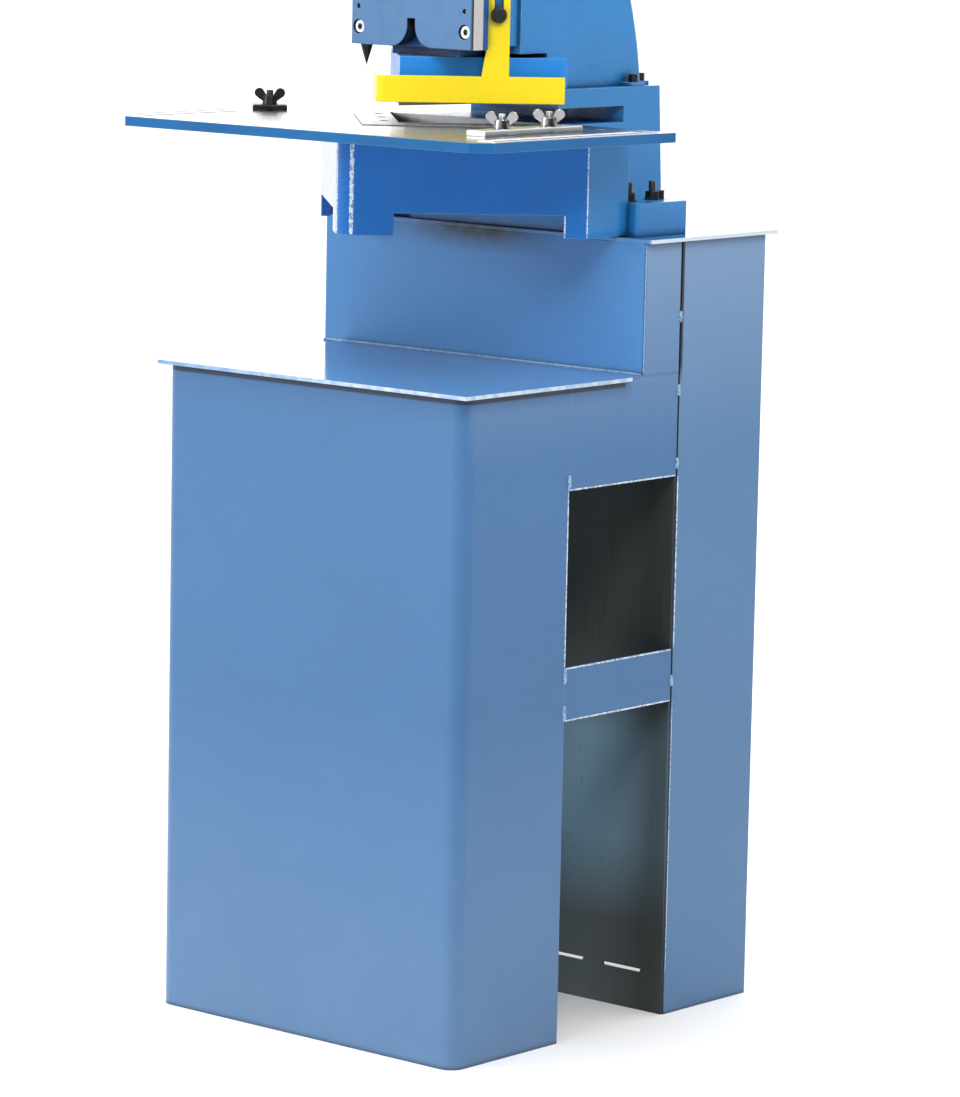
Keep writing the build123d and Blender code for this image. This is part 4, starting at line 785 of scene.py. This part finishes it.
def tube_faces(rows, columns):
    """Quads of a grid that is closed round its columns."""
    index = np.arange(rows * columns).reshape(rows, columns)
    after = np.roll(index, -1, axis=1)
    quads = np.stack([index[:-1], after[:-1], after[1:], index[1:]], axis=-1)
    return quads.reshape(-1, 4)


def outward(points, quads):
    """Quads turned so that the closed skin has a positive volume, which means outward faces."""
    a, b, c, d = (points[quads[:, corner]] for corner in range(4))
    volume = np.einsum("ij,ij->", a, np.cross(b, c)) + np.einsum("ij,ij->", a, np.cross(c, d))
    return quads if volume > 0 else quads[:, ::-1]


def skin(name, grids, body, slot, material, flat_grids=()):
    """One piece from point grids of rows by columns by 3, each a tube closed round its columns."""
    points, faces, smooth, first = [], [], [], 0
    for grid in (*grids, *flat_grids):
        rows, columns = grid.shape[:2]
        flat = grid.reshape(-1, 3)
        faces.append(outward(flat, tube_faces(rows, columns)) + first)
        points.append(flat)
        smooth.append(np.full(len(faces[-1]), len(smooth) < len(grids)))
        first += rows * columns
    quads = np.concatenate(faces).tolist()
    return piece(name, np.concatenate(points), quads, body, slot, material, np.concatenate(smooth))


def point_grid(x, y, z):
    """Points from three arrays of coordinates that stretch to one shape."""
    return np.stack(np.broadcast_arrays(x, y, z), axis=-1)


def ring_grid(rows, sides):
    """Shares of a length, one for each row, and angles round a ring, one for each column."""
    share = np.linspace(0.0, 1.0, rows)[:, None]
    return share, np.linspace(0.0, 2 * pi, sides, endpoint=False)[None, :]


def end_taper(share, power):
    """Taper at both ends of a line: (1 - (2 t - 1)^power)^(1/2) at share t."""
    return np.sqrt(np.clip(1 - (2 * share - 1) ** power, 0.0, 1.0))


def carry(start, end, out, share, across, height):
    """Rings carried along a line: its point at each share, plus across to the side and height outwards."""
    start, end, out = (np.array(corner, float) for corner in (start, end, out))
    run = end - start
    side = np.cross(run / np.linalg.norm(run), out)
    line = start + share * run
    return line[:, None, :] + across[..., None] * side + height[..., None] * out


def bead(start, end, out, sizes):
    """Weld bead: a flattened ring carried along a line.

    At share t of the length and angle a round the ring, the point is the line's point plus the side
    direction times width / 2 * swell * cos(a) plus the outward direction times crown * swell * sin(a),
    cut off just below the surface. swell is the end taper of power 6 times one plus the ripples, a
    rising saw tooth of the ripple distance.
    """
    length = np.linalg.norm(np.subtract(end, start))
    share, angle = ring_grid(max(BEAD_ROWS, int(RIPPLE_ROWS * length / sizes.ripple)), BEAD_SIDES)
    saw = np.mod(share * length / sizes.ripple, 1.0)
    swell = end_taper(share, 6) * (1 + RIPPLE_RISE * saw)
    across = sizes.width / 2 * swell * np.cos(angle)
    height = np.maximum(sizes.crown * swell * np.sin(angle), -BEAD_SINK * sizes.crown)
    return carry(start, end, out, share, across, height)


def strip(start, end, out, width, crown):
    """Rubbed strip: a flat ring carried along a line.

    At share t of the length and angle a round the ring, the point is the line's point plus the side
    direction times width / 2 * swell * cos(a) plus the outward direction times crown * sin(a), which
    tapers too. swell is the end taper of power 20 times one plus a long and a short sine wave.
    """
    length = np.linalg.norm(np.subtract(end, start))
    share, angle = ring_grid(max(STRIP_ROWS, int(length / STRIP_STEP)), STRIP_SIDES)
    waves = np.sin(share * length / LONG_WAVE) + np.sin(share * length / SHORT_WAVE + 1.0)
    swell = end_taper(share, 20) * (1 + WAVE_RISE * waves)
    across = width / 2 * swell * np.cos(angle)
    height = crown * np.sin(angle) * np.minimum(1.0, swell)
    return carry(start, end, out, share, across, height)


def capped(grid, low, high):
    """Point grid with one row on the axis added at each end, which closes the tube."""
    columns = grid.shape[1]
    ends = [np.broadcast_to(np.array(end, float), (1, columns, 3)) for end in (low, high)]
    return np.concatenate([ends[0], grid, ends[1]])


def thread(foot, top, sizes):
    """Threaded rod that stands on its foot and ends at this height.

    At height h and angle a the distance from the axis is the radius minus the depth times a tooth wave
    of h / pitch - a / turn, held inside a 45 degree chamfer at both ends and closed on the axis.
    """
    length = top - foot[2]
    height = np.linspace(0.0, length, int(THREAD_ROWS * length / sizes.pitch))[:, None]
    angle = np.linspace(0.0, 2 * pi, sizes.sides, endpoint=False)[None, :]
    tooth = 2 * np.abs(np.mod(height / sizes.pitch - angle / (2 * pi), 1.0) - 0.5)
    distance = sizes.radius - sizes.depth * np.clip(TOOTH_SLOPE * tooth - TOOTH_FLAT, 0.0, 1.0)
    chamfer = sizes.radius - CHAMFER_DEPTHS * sizes.depth + np.minimum(height, length - height)
    distance = np.minimum(distance, chamfer)
    grid = point_grid(
        foot[0] + distance * np.cos(angle), foot[1] + distance * np.sin(angle), foot[2] + height,
    )
    return capped(grid, foot, (foot[0], foot[1], top))


def square_head(foot, top, side, turn):
    """Square bolt head from its foot to this height.

    The four corners lie at turn plus odd multiples of 45 degrees, half a diagonal from the axis, on rings
    at the foot and the top that close on the axis.
    """
    angle = turn + pi / 4 + np.arange(4)[None, :] * pi / 2
    height = np.array([foot[2], top])[:, None]
    reach = side / 2 ** 0.5
    grid = point_grid(foot[0] + reach * np.cos(angle), foot[1] + reach * np.sin(angle), height)
    return capped(grid, foot, (foot[0], foot[1], top))


def bars(centres, sizes):
    """Points and quads of upright boxes, from their middle points and their full sizes."""
    signs = np.array([(x, y, z) for z in (-0.5, 0.5) for y in (-0.5, 0.5) for x in (-0.5, 0.5)])
    points = centres[:, None, :] + signs[None, :, :] * sizes[:, None, :]
    box = np.array([(0, 2, 3, 1), (4, 5, 7, 6), (0, 1, 5, 4), (2, 6, 7, 3), (0, 4, 6, 2), (1, 3, 7, 5)])
    quads = box[None, :, :] + 8 * np.arange(len(centres))[:, None, None]
    return points.reshape(-1, 3), quads.reshape(-1, 4).tolist()


def figures(text, height):
    """Points and polygons of a number in the built-in type, flat and centred on the origin."""
    curve = bpy.data.curves.new("figure", "FONT")
    curve.body = text
    curve.size = height
    curve.align_x = "CENTER"
    curve.align_y = "CENTER"
    holder = bpy.data.objects.new("figure", curve)
    mesh = bpy.data.meshes.new_from_object(holder)
    points = np.empty(len(mesh.vertices) * 3)
    mesh.vertices.foreach_get("co", points)
    faces = [list(polygon.vertices) for polygon in mesh.polygons]
    bpy.data.objects.remove(holder)
    bpy.data.curves.remove(curve)
    bpy.data.meshes.remove(mesh)
    return points.reshape(-1, 3), faces


class NOTCHER_OT_paint_stand(bpy.types.Operator):
    """Spray the sheet metal stand with satin enamel."""

    bl_idname = "notcher.paint_stand"
    bl_label = "Paint stand"

    def execute(self, context):
        look = context.scene.notcher_stand
        satin, wiped = look.roughness, look.deck_roughness
        shelf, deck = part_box("shelf_plate")[0].z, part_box("top_plate")[0].z
        seam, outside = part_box("rear_shell")[0].y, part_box("front_shell")[0].x
        # Painted shadow under the shelf's lip, on the front shell, the side header and the side strip.
        shadow_under_lip = partial(lip_shadow, colour=look.colour, lip=shelf, end=look.lip_end)
        # Painted shade beside the seam, on the rear shell.
        shade_beside_seam = partial(seam_shade, colour=look.colour, seam=seam, shelf=shelf)
        # Shelf lip: rubbed paint and also a painted highlight.
        shelf_rim = partial(rubbed_and_lit_lip, colour=look.rubbed, plain=look.colour, end=look.lip_end)
        # Painted shadow of the die housing on the deck and down the tall panel.
        shaded = partial(housing_shadow, top=deck)

        def deck_rim(tree, under):
            """Rubbed rim, also a painted highlight, with the painted shadow of the die housing over it."""
            return shaded(tree, rubbed_and_lit_rim(tree, under, look.rubbed))

        dress(SHEET_NODES, sheet_enamel("stand_enamel", look.colour, look, satin, shadow_under_lip))
        # The rear shell takes the lighter copy of the stand's enamel, painted sheen, with little of the
        # lighter tone near the floor.
        rear = sheet_enamel("rear_sheen_enamel", look.rear_sheen, look, satin, shade_beside_seam, dust=0.12)
        dress(("rear_shell",), rear)
        # The tall panel's front takes the brighter enamel, painted light against the machine's shade.
        panel = sheet_enamel("panel_enamel", look.shade_lifted, look, satin, shaded, side=look.colour)
        dress(("tall_front_panel",), panel)
        dress(("shelf_plate",), sheet_enamel("shelf_enamel", look.shade_lifted, look, wiped, shelf_rim, coat=0.3))
        dress(("top_plate",), sheet_enamel("deck_enamel", look.shade_lifted, look, wiped, deck_rim, coat=0.3))
        mist_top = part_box("side_strip")[0].z
        dress(("inner_wall",), dark_primer("inner_primer", look, mist_top, outside))
        return {"FINISHED"}


class NOTCHER_OT_paint_machine(bpy.types.Operator):
    """Spray the castings, the ram, the table's edges and the guard with gloss enamel."""

    bl_idname = "notcher.paint_machine"
    bl_label = "Paint machine"

    def execute(self, context):
        look = context.scene.notcher_machine
        dress(CAST_NODES, gloss_enamel("machine_enamel", look.colour, look, gloss=0.35))
        # Die housing: the deeper enamel in front is painted shade, and the casting enamel on right-facing
        # faces is painted light.
        dress(("die_housing",), gloss_enamel(
            "housing_enamel", look.housing, look, gloss=0.15, coat=1.0, coat_ior=1.2, side=look.colour,
        ))
        # The ram takes the dark enamel, which is painted shade.
        dress(("ram",), gloss_enamel("ram_shaded_enamel", look.slide, look, gloss=0.2))
        # The knife holder takes the brighter enamel, painted light against its shade.
        dress(("knife_holder",), gloss_enamel("holder_lit_enamel", look.holder, look, gloss=0.12))
        dress(("ram_plate",), plate_finish("plate_enamel", look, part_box("ram_plate")[1].x))
        dress(("guard",), gloss_enamel("guard_enamel", look.guard, look, gloss=0.25, cast=False))
        dress(("table_plate",), ground_table("table_finish", look, context.scene.notcher_steel))
        return {"FINISHED"}


class NOTCHER_OT_finish_steel(bpy.types.Operator):
    """Grind, blacken and plate the bare steel pieces, and finish the scale strips and the wiper."""

    bl_idname = "notcher.finish_steel"
    bl_label = "Finish steel"

    def execute(self, context):
        look = context.scene.notcher_steel
        ground = {"lay": ALONG_DEPTH, "edge": 0.0005, "tarnish": 0.15}
        dress(GROUND_NODES, bare_metal("ground_steel", look.ground, roughness=0.38, **ground))
        dress(KNIFE_NODES, bare_metal("knife_steel", look.knife, roughness=0.42, **ground))
        dress(BLACK_NODES, black_oxide("black_oxide", look.black))
        dress(ZINC_NODES, bare_metal(
            "zinc_plate", look.zinc, roughness=0.34, lay=FINE, edge=0.0007, tarnish=0.45,
        ))
        plated = {"lay": COARSE, "edge": 0.0008}
        dress(NICKEL_NODES, bare_metal(
            "nickel_plate", look.nickel, roughness=0.12, tarnish=0.50, **plated,
        ))
        dress(("piston_rod",), bare_metal(
            "chrome_plate", look.chrome, roughness=0.09, tarnish=0.10, **plated,
        ))
        dress(("scale_left", "scale_right"), scale_strip("scale_face", look.strip))
        dress(("rod_wiper",), wiper_rubber("wiper_rubber", look.rubber))
        return {"FINISHED"}


class NOTCHER_OT_weld_seams(bpy.types.Operator):
    """Lay the stitch welds of the stand's seams, joints and lips."""

    bl_idname = "notcher.weld_seams"
    bl_label = "Weld seams"

    def execute(self, context):
        sizes = context.scene.notcher_welds
        thin = context.scene.notcher_edges.seam
        enamel = rubbed_paint("weld_enamel", thin, context.scene.notcher_stand.colour)
        grids = self.seam_welds(sizes) + self.joint_welds(sizes)
        skin("stitch_welds", grids, "stand", "stand_paint", enamel)
        return {"FINISHED"}

    def seam_welds(self, sizes):
        """Stitches up the seams between the inner wall and the sheets, at one pitch on both sides."""
        strip_low, strip_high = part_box("side_strip")
        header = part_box("side_header")[0]
        wall_low, wall_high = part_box("inner_wall")
        panel_low, panel_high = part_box("tall_front_panel")
        seam = (wall_low.y + wall_high.y) / 2
        half = sizes.stitch / 2
        stitch = Vector((0, 0, half))
        first = (strip_low.z + strip_high.z) / 2 - half
        grids = []
        for height in first + sizes.pitch * np.arange(SEAM_STITCHES):
            on_strip = strip_low.z < height < strip_high.z
            on_upper = header.z < height < panel_high.z
            if on_strip or on_upper:
                middle = Vector((strip_high.x, seam, height))
                grids.append(bead(middle - stitch, middle + stitch, RIGHT, sizes))
            if height > panel_low.z:
                middle = Vector((panel_low.x, seam, height))
                grids.append(bead(middle - stitch, middle + stitch, LEFT, sizes))
        return grids

    def joint_welds(self, sizes):
        """Short welds at the front ends of the header and the strip, and two along the top of the header."""
        strip_low, strip_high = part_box("side_strip")
        header_low, header_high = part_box("side_header")
        right, joint = strip_high.x, strip_low.y
        half = sizes.stitch / 2
        grids = [
            bead((right, joint, low), (right, joint, high), RIGHT, sizes)
            for low, high in (
                (header_low.z, header_low.z + HEADER_WELD),
                (strip_high.z - STRIP_WELD, strip_high.z),
                (strip_low.z, strip_low.z + STRIP_WELD),
            )
        ]
        corner = (DIAGONAL, 0, -DIAGONAL)
        for depth in (joint, joint + LIP_WELD_STEP):
            start, end = ((right, depth + reach, header_high.z) for reach in (-half, half))
            grids.append(bead(start, end, corner, sizes))
        return grids


class NOTCHER_OT_rub_edges(bpy.types.Operator):
    """Rub the paint off the edges of the stand's openings, the foot of the wall and the die housing, which
    also lays painted highlights there.
    """

    bl_idname = "notcher.rub_edges"
    bl_label = "Rub edges"

    def execute(self, context):
        sizes = context.scene.notcher_edges
        paint = context.scene.notcher_stand
        stand = rubbed_paint("rubbed_lit_stand", sizes.colour, paint.colour)
        machine = rubbed_paint("rubbed_lit_machine", sizes.colour, context.scene.notcher_machine.housing)
        skin("opening_edges", self.opening_edges(sizes), "stand", "stand_paint", stand)
        fillet = rubbed_paint("fillet_enamel", sizes.seam, paint.shade_lifted)
        skin("wall_foot", self.wall_foot(sizes), "stand", "stand_paint", fillet)
        skin("housing_edges", self.housing_edges(sizes), "stand", "machine_paint", machine)
        return {"FINISHED"}

    def opening_edges(self, sizes):
        """Strips along the cut edges of the window and of the foot opening, on the right side: rubbed paint
        and also painted highlights.
        """
        header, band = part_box("side_header")[0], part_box("side_strip")
        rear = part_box("rear_shell")[0].y
        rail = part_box("bottom_rail")[1].z
        right, half = band[1].x, sizes.width / 2
        front = band[0].y
        corners = (
            ((front, header.z + half), (band[1].y, header.z + half)),
            ((front, band[1].z - half), (band[1].y, band[1].z - half)),
            ((front, band[0].z + half), (band[1].y, band[0].z + half)),
            ((front - half, band[1].z), (front - half, header.z)),
            ((rear + half, band[1].z), (rear + half, header.z)),
            ((rear + half, rail), (rear + half, band[0].z)),
        )
        widths = (sizes.width,) * 5 + (sizes.width / 2,)
        return [
            strip((right, *start), (right, *end), RIGHT, width, sizes.crown)
            for (start, end), width in zip(corners, widths)
        ]

    def wall_foot(self, sizes):
        """Thin fillet where the tall front panel stands on the shelf, and its rubbed upright right edge,
        both pale and also painted highlights.
        """
        low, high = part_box("tall_front_panel")
        corner = (0, -DIAGONAL, DIAGONAL)
        ends = [(x, low.y, low.z) for x in (low.x + sizes.width, high.x - sizes.width)]
        edge = [(high.x, low.y + sizes.width / 2, z) for z in (low.z, high.z)]
        return [
            strip(*ends, corner, sizes.foot_width, FOOT_CROWNS * sizes.crown),
            strip(*edge, RIGHT, sizes.width, sizes.crown),
        ]

    def housing_edges(self, sizes):
        """Upright bands on the die housing's nose, its side bends and the outer ends of its arches: rubbed
        paint and also painted highlights.
        """
        low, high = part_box("die_housing")
        turn, radius = sizes.nose_turn, sizes.nose_radius - sizes.crown / 2
        face = np.arctan2(sizes.bend_setback, high.x)
        bend = (pi / 2 + face) / 2
        grids = []
        for side in (-1, 1):
            x, y = side * radius * sin(turn), low.y + sizes.nose_radius - radius * cos(turn)
            out = (side * sin(turn), -cos(turn), 0)
            grids.append(strip((x, y, low.z), (x, y, high.z), out, sizes.nose_width, sizes.crown))
            x, y = side * high.x, low.y + sizes.bend_setback
            out = (side * sin(bend), -cos(bend), 0)
            inset = np.array(out) * BEND_SINK * sizes.crown
            start, end = (np.array((x, y, z)) - inset for z in (low.z, high.z))
            grids.append(strip(start, end, out, sizes.width, sizes.crown))
            x = side * (sizes.arch_side + cos(face) * sizes.width / 2)
            y = low.y + sizes.arch_setback + sin(face) * sizes.width / 2
            out = (side * sin(face), -cos(face), 0)
            tops = (low.z, low.z + sizes.arch_height)
            grids.append(strip(*((x, y, z) for z in tops), out, sizes.width, sizes.crown))
        return grids


class NOTCHER_OT_set_rail(bpy.types.Operator):
    """Set the rail with its weld tabs under the inner wall."""

    bl_idname = "notcher.set_rail"
    bl_label = "Set rail"

    def execute(self, context):
        sizes = context.scene.notcher_rail
        low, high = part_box("bottom_rail")
        half = sizes.tab_width / 2
        steps = (sizes.inner_tab - half, sizes.inner_tab + half, sizes.outer_tab)
        grid = self.rail(low, high, steps, sizes)
        made = skin("rail", (), "stand", "stand_paint", bpy.data.materials["inner_primer"], (grid,))
        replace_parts(made, "bottom_rail")
        return {"FINISHED"}

    def rail(self, low, high, steps, sizes):
        """Square ring carried along the width.

        At place x the ring has the corners of a rectangle from the floor to the height h. h is the height
        of the rail, which falls by the slit between the tabs. Each fall and rise takes the run of a melted
        corner, and both halves of the rail are alike.
        """
        slit = high.z - sizes.slit
        rise = np.array([[step, step + sizes.melt] for step in steps]).ravel()
        levels = np.array([slit, high.z, high.z, slit, slit, high.z])
        x = np.concatenate([[low.x], -rise[::-1], rise, [high.x]])
        top = np.concatenate([[high.z], levels[::-1], levels, [high.z]])
        ring = np.array([(low.y, 0), (low.y, 1), (high.y, 1), (high.y, 0)])
        grid = point_grid(x[:, None], ring[None, :, 0], low.z + ring[None, :, 1] * (top - low.z)[:, None])
        middle = (low.y + high.y) / 2
        ends = [(place, middle, (low.z + high.z) / 2) for place in (low.x, high.x)]
        return capped(grid, *ends)


class NOTCHER_OT_mark_scales(bpy.types.Operator):
    """Print the divisions and the numbers on the table scales."""

    bl_idname = "notcher.mark_scales"
    bl_label = "Mark scales"

    def execute(self, context):
        marks = context.scene.notcher_marks
        ink = printed_ink("scale_ink", marks.ink)
        for name, inward in (("scale_right", -1.0), ("scale_left", 1.0)):
            low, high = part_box(name)
            edge = high.x if inward < 0 else low.x
            count = int((high.y - low.y - 2 * SCALE_MARGIN) / marks.division)
            places = low.y + SCALE_MARGIN + np.arange(count + 1) * marks.division
            lines = self.lines(edge, inward, places, high.z, marks.line)
            piece(f"{name}_lines", *lines, "stand", "scale_strip", ink)
            numbers = self.numbers(edge + inward * FIGURE_INSET, places, high.z + INK_THICK, marks.figure)
            piece(f"{name}_numbers", *numbers, "stand", "scale_strip", ink)
        return {"FINISHED"}

    def lines(self, edge, inward, places, top, width):
        """Thin bars across a strip from near its edge inwards, longer at each fifth and tenth place."""
        step = np.arange(len(places))
        length = np.where(step % 10 == 0, LONG_LINE, np.where(step % 5 == 0, MIDDLE_LINE, SHORT_LINE))
        x = edge + inward * (LINE_GAP + length / 2)
        return bars(point_grid(x, places, top + INK_THICK / 2), point_grid(length, width, INK_THICK))

    def numbers(self, x, places, top, height):
        """Centimetres in figures that read from the right, flat on the ink's height."""
        points, polygons, total = [], [], 0
        for number in range(0, len(places), FIGURE_STEP):
            shape, faces = figures(str(number // 10), height)
            turned = np.stack([-shape[:, 1], shape[:, 0], shape[:, 2]], axis=1)
            points.append(turned + (x, places[number], top))
            polygons += [[index + total for index in face] for face in faces]
            total += len(shape)
        return np.concatenate(points), polygons


class NOTCHER_OT_cut_threads(bpy.types.Operator):
    """Cut the threads of the hold-down studs and of the stop bolts' ends."""

    bl_idname = "notcher.cut_threads"
    bl_label = "Cut threads"

    def execute(self, context):
        sizes = context.scene.notcher_threads
        black, zinc = bpy.data.materials["black_oxide"], bpy.data.materials["zinc_plate"]
        low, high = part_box("hold_down_studs")
        rods = [
            thread((x, y, low.z), high.z, sizes)
            for x in (low.x + sizes.radius, high.x - sizes.radius)
            for y in (low.y + sizes.radius, high.y - sizes.radius)
        ]
        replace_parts(skin("stud_threads", rods, "stand", "black_steel", black), "hold_down_studs")
        for name, body, turn, slot, finish in (
            ("right_stop_bolts", "right_stop", 0, "zinc_steel", zinc),
            ("left_stop_bolt", "left_stop", pi / 4, "black_steel", black),
        ):
            low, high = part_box(name)
            reach = (high.x - low.x) / 2
            middle = (low.x + high.x) / 2
            top = low.z + sizes.head
            places = sorted({round(low.y + reach, 6), round(high.y - reach, 6)})
            rods = [thread((middle, y, top), high.z, sizes) for y in places]
            side = 2 * reach / (cos(turn) + sin(turn))
            heads = [square_head((middle, y, low.z), top, side, turn) for y in places]
            made = skin(f"{name}_threads", rods, body, slot, finish, heads)
            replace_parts(made, name)
        return {"FINISHED"}


class NOTCHER_OT_set_stage(bpy.types.Operator):
    """Set the floor, the light and the camera."""

    bl_idname = "notcher.set_stage"
    bl_label = "Set stage"

    def execute(self, context):
        stage = context.scene.notcher_stage
        self.lay_floor(stage)
        self.light_surroundings(context, stage)
        self.hang_lights(context, stage)
        self.place_camera(context, stage)
        context.scene.view_settings.view_transform = "Standard"
        return {"FINISHED"}

    def lay_floor(self, stage):
        """Square floor under the stand: a grid of four points."""
        span = stage.reach
        corners = [(-span, -span, 0), (span, -span, 0), (span, span, 0), (-span, span, 0)]
        floor = mesh_object("floor", corners, [(0, 1, 2, 3)], studio_floor("studio_floor", stage.floor))

    def light_surroundings(self, context, stage):
        """White surroundings that are brighter overhead and behind, and darker on the camera's right.

        The strength is level plus overhead times the height of the direction, plus the glow behind and
        minus the shade on the right, each a power of the cosine of the turn from its middle.
        """
        world = bpy.data.worlds.new("studio")
        world.use_nodes = True
        tree = world.node_tree
        place = add_node(tree, "ShaderNodeTexCoord").outputs["Generated"]
        height = add_node(tree, "ShaderNodeSeparateXYZ", {"Vector": place}).outputs["Z"]
        strength = remap(tree, height, (0.0, 1.0), (stage.level, stage.level + stage.overhead))
        for turn, power, gain in (
            (stage.azimuth + pi, GLOW_POWER, stage.glow),
            (stage.shade_turn, SHADE_POWER, -stage.shade),
        ):
            cosine = dot(tree, place, (sin(turn), -cos(turn), 0.0))
            lobe = reckon(tree, "POWER", reckon(tree, "MAXIMUM", cosine, 0.0), power)
            strength = reckon(tree, "ADD", strength, times(tree, lobe, gain))
            strength = reckon(tree, "MAXIMUM", strength, DIMMEST)
        backdrop = tree.nodes["Background"]
        backdrop.inputs["Color"].default_value = WHITE
        tree.links.new(strength, backdrop.inputs["Strength"])
        context.scene.world = world

    def hang_lights(self, context, stage):
        """Soft key light at the front left, and a fill light over the right of the table."""
        for name, place, aim, energy, size in (
            ("key", stage.key_place, KEY_AIM, stage.key, stage.key_size),
            ("fill", stage.fill_place, FILL_AIM, stage.fill, stage.fill_size),
        ):
            lamp = bpy.data.lights.new(name, "AREA")
            lamp.energy = energy
            lamp.size = size
            light = bpy.data.objects.new(name, lamp)
            light.location = place
            light.rotation_euler = (Vector(aim) - Vector(place)).to_track_quat("-Z", "Y").to_euler()
            light.visible_camera = False
            context.scene.collection.objects.link(light)

    def place_camera(self, context, stage):
        """Camera that looks down along the azimuth, with its roll about the line of sight."""
        forward = Vector((
            -sin(stage.azimuth) * cos(stage.tilt), cos(stage.azimuth) * cos(stage.tilt), -sin(stage.tilt),
        ))
        level = Vector((cos(stage.azimuth), sin(stage.azimuth), 0.0))
        upright = level.cross(forward)
        right = level * cos(stage.roll) + upright * sin(stage.roll)
        up = upright * cos(stage.roll) - level * sin(stage.roll)
        lens = bpy.data.cameras.new("camera")
        lens.lens = stage.lens
        lens.clip_end = CAMERA_REACH
        camera = bpy.data.objects.new("camera", lens)
        turn = Matrix((right, up, -forward)).transposed().to_4x4()
        camera.matrix_world = Matrix.Translation(stage.place) @ turn
        context.scene.collection.objects.link(camera)
        context.scene.camera = camera


class NOTCHER_PT_sidebar(bpy.types.Panel):
    """Buttons for the pieces of the notcher, in the order in which they are made."""

    bl_label = "Angle notcher"
    bl_idname = "NOTCHER_PT_sidebar"
    bl_space_type = "VIEW_3D"
    bl_region_type = "UI"
    bl_category = "Notcher"

    def draw(self, context):
        for operator in OPERATORS:
            self.layout.operator(operator.bl_idname)


GROUPS = {
    "notcher_stand": StandPaint,
    "notcher_machine": MachinePaint,
    "notcher_steel": SteelFinish,
    "notcher_welds": WeldSizes,
    "notcher_edges": RubbedEdges,
    "notcher_rail": RailSizes,
    "notcher_marks": ScaleMarks,
    "notcher_threads": ThreadSizes,
    "notcher_stage": StageSetup,
}
OPERATORS = (
    NOTCHER_OT_paint_stand,
    NOTCHER_OT_paint_machine,
    NOTCHER_OT_finish_steel,
    NOTCHER_OT_weld_seams,
    NOTCHER_OT_rub_edges,
    NOTCHER_OT_set_rail,
    NOTCHER_OT_mark_scales,
    NOTCHER_OT_cut_threads,
    NOTCHER_OT_set_stage,
)


def register():
    """Register the classes and hang the settings on the scene."""
    for group in (*GROUPS.values(), *OPERATORS, NOTCHER_PT_sidebar):
        bpy.utils.register_class(group)
    for name, group in GROUPS.items():
        setattr(bpy.types.Scene, name, PointerProperty(type=group))


def unregister():
    """Take the settings off the scene and unregister the classes."""
    for name in GROUPS:
        delattr(bpy.types.Scene, name)
    for group in reversed((*GROUPS.values(), *OPERATORS, NOTCHER_PT_sidebar)):
        bpy.utils.unregister_class(group)


def main():
    """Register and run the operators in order."""
    register()
    bpy.ops.notcher.paint_stand()
    bpy.ops.notcher.paint_machine()
    bpy.ops.notcher.finish_steel()
    bpy.ops.notcher.weld_seams()
    bpy.ops.notcher.rub_edges()
    bpy.ops.notcher.set_rail()
    bpy.ops.notcher.mark_scales()
    bpy.ops.notcher.cut_threads()
    bpy.ops.notcher.set_stage()


if __name__ == "__main__":
    main()
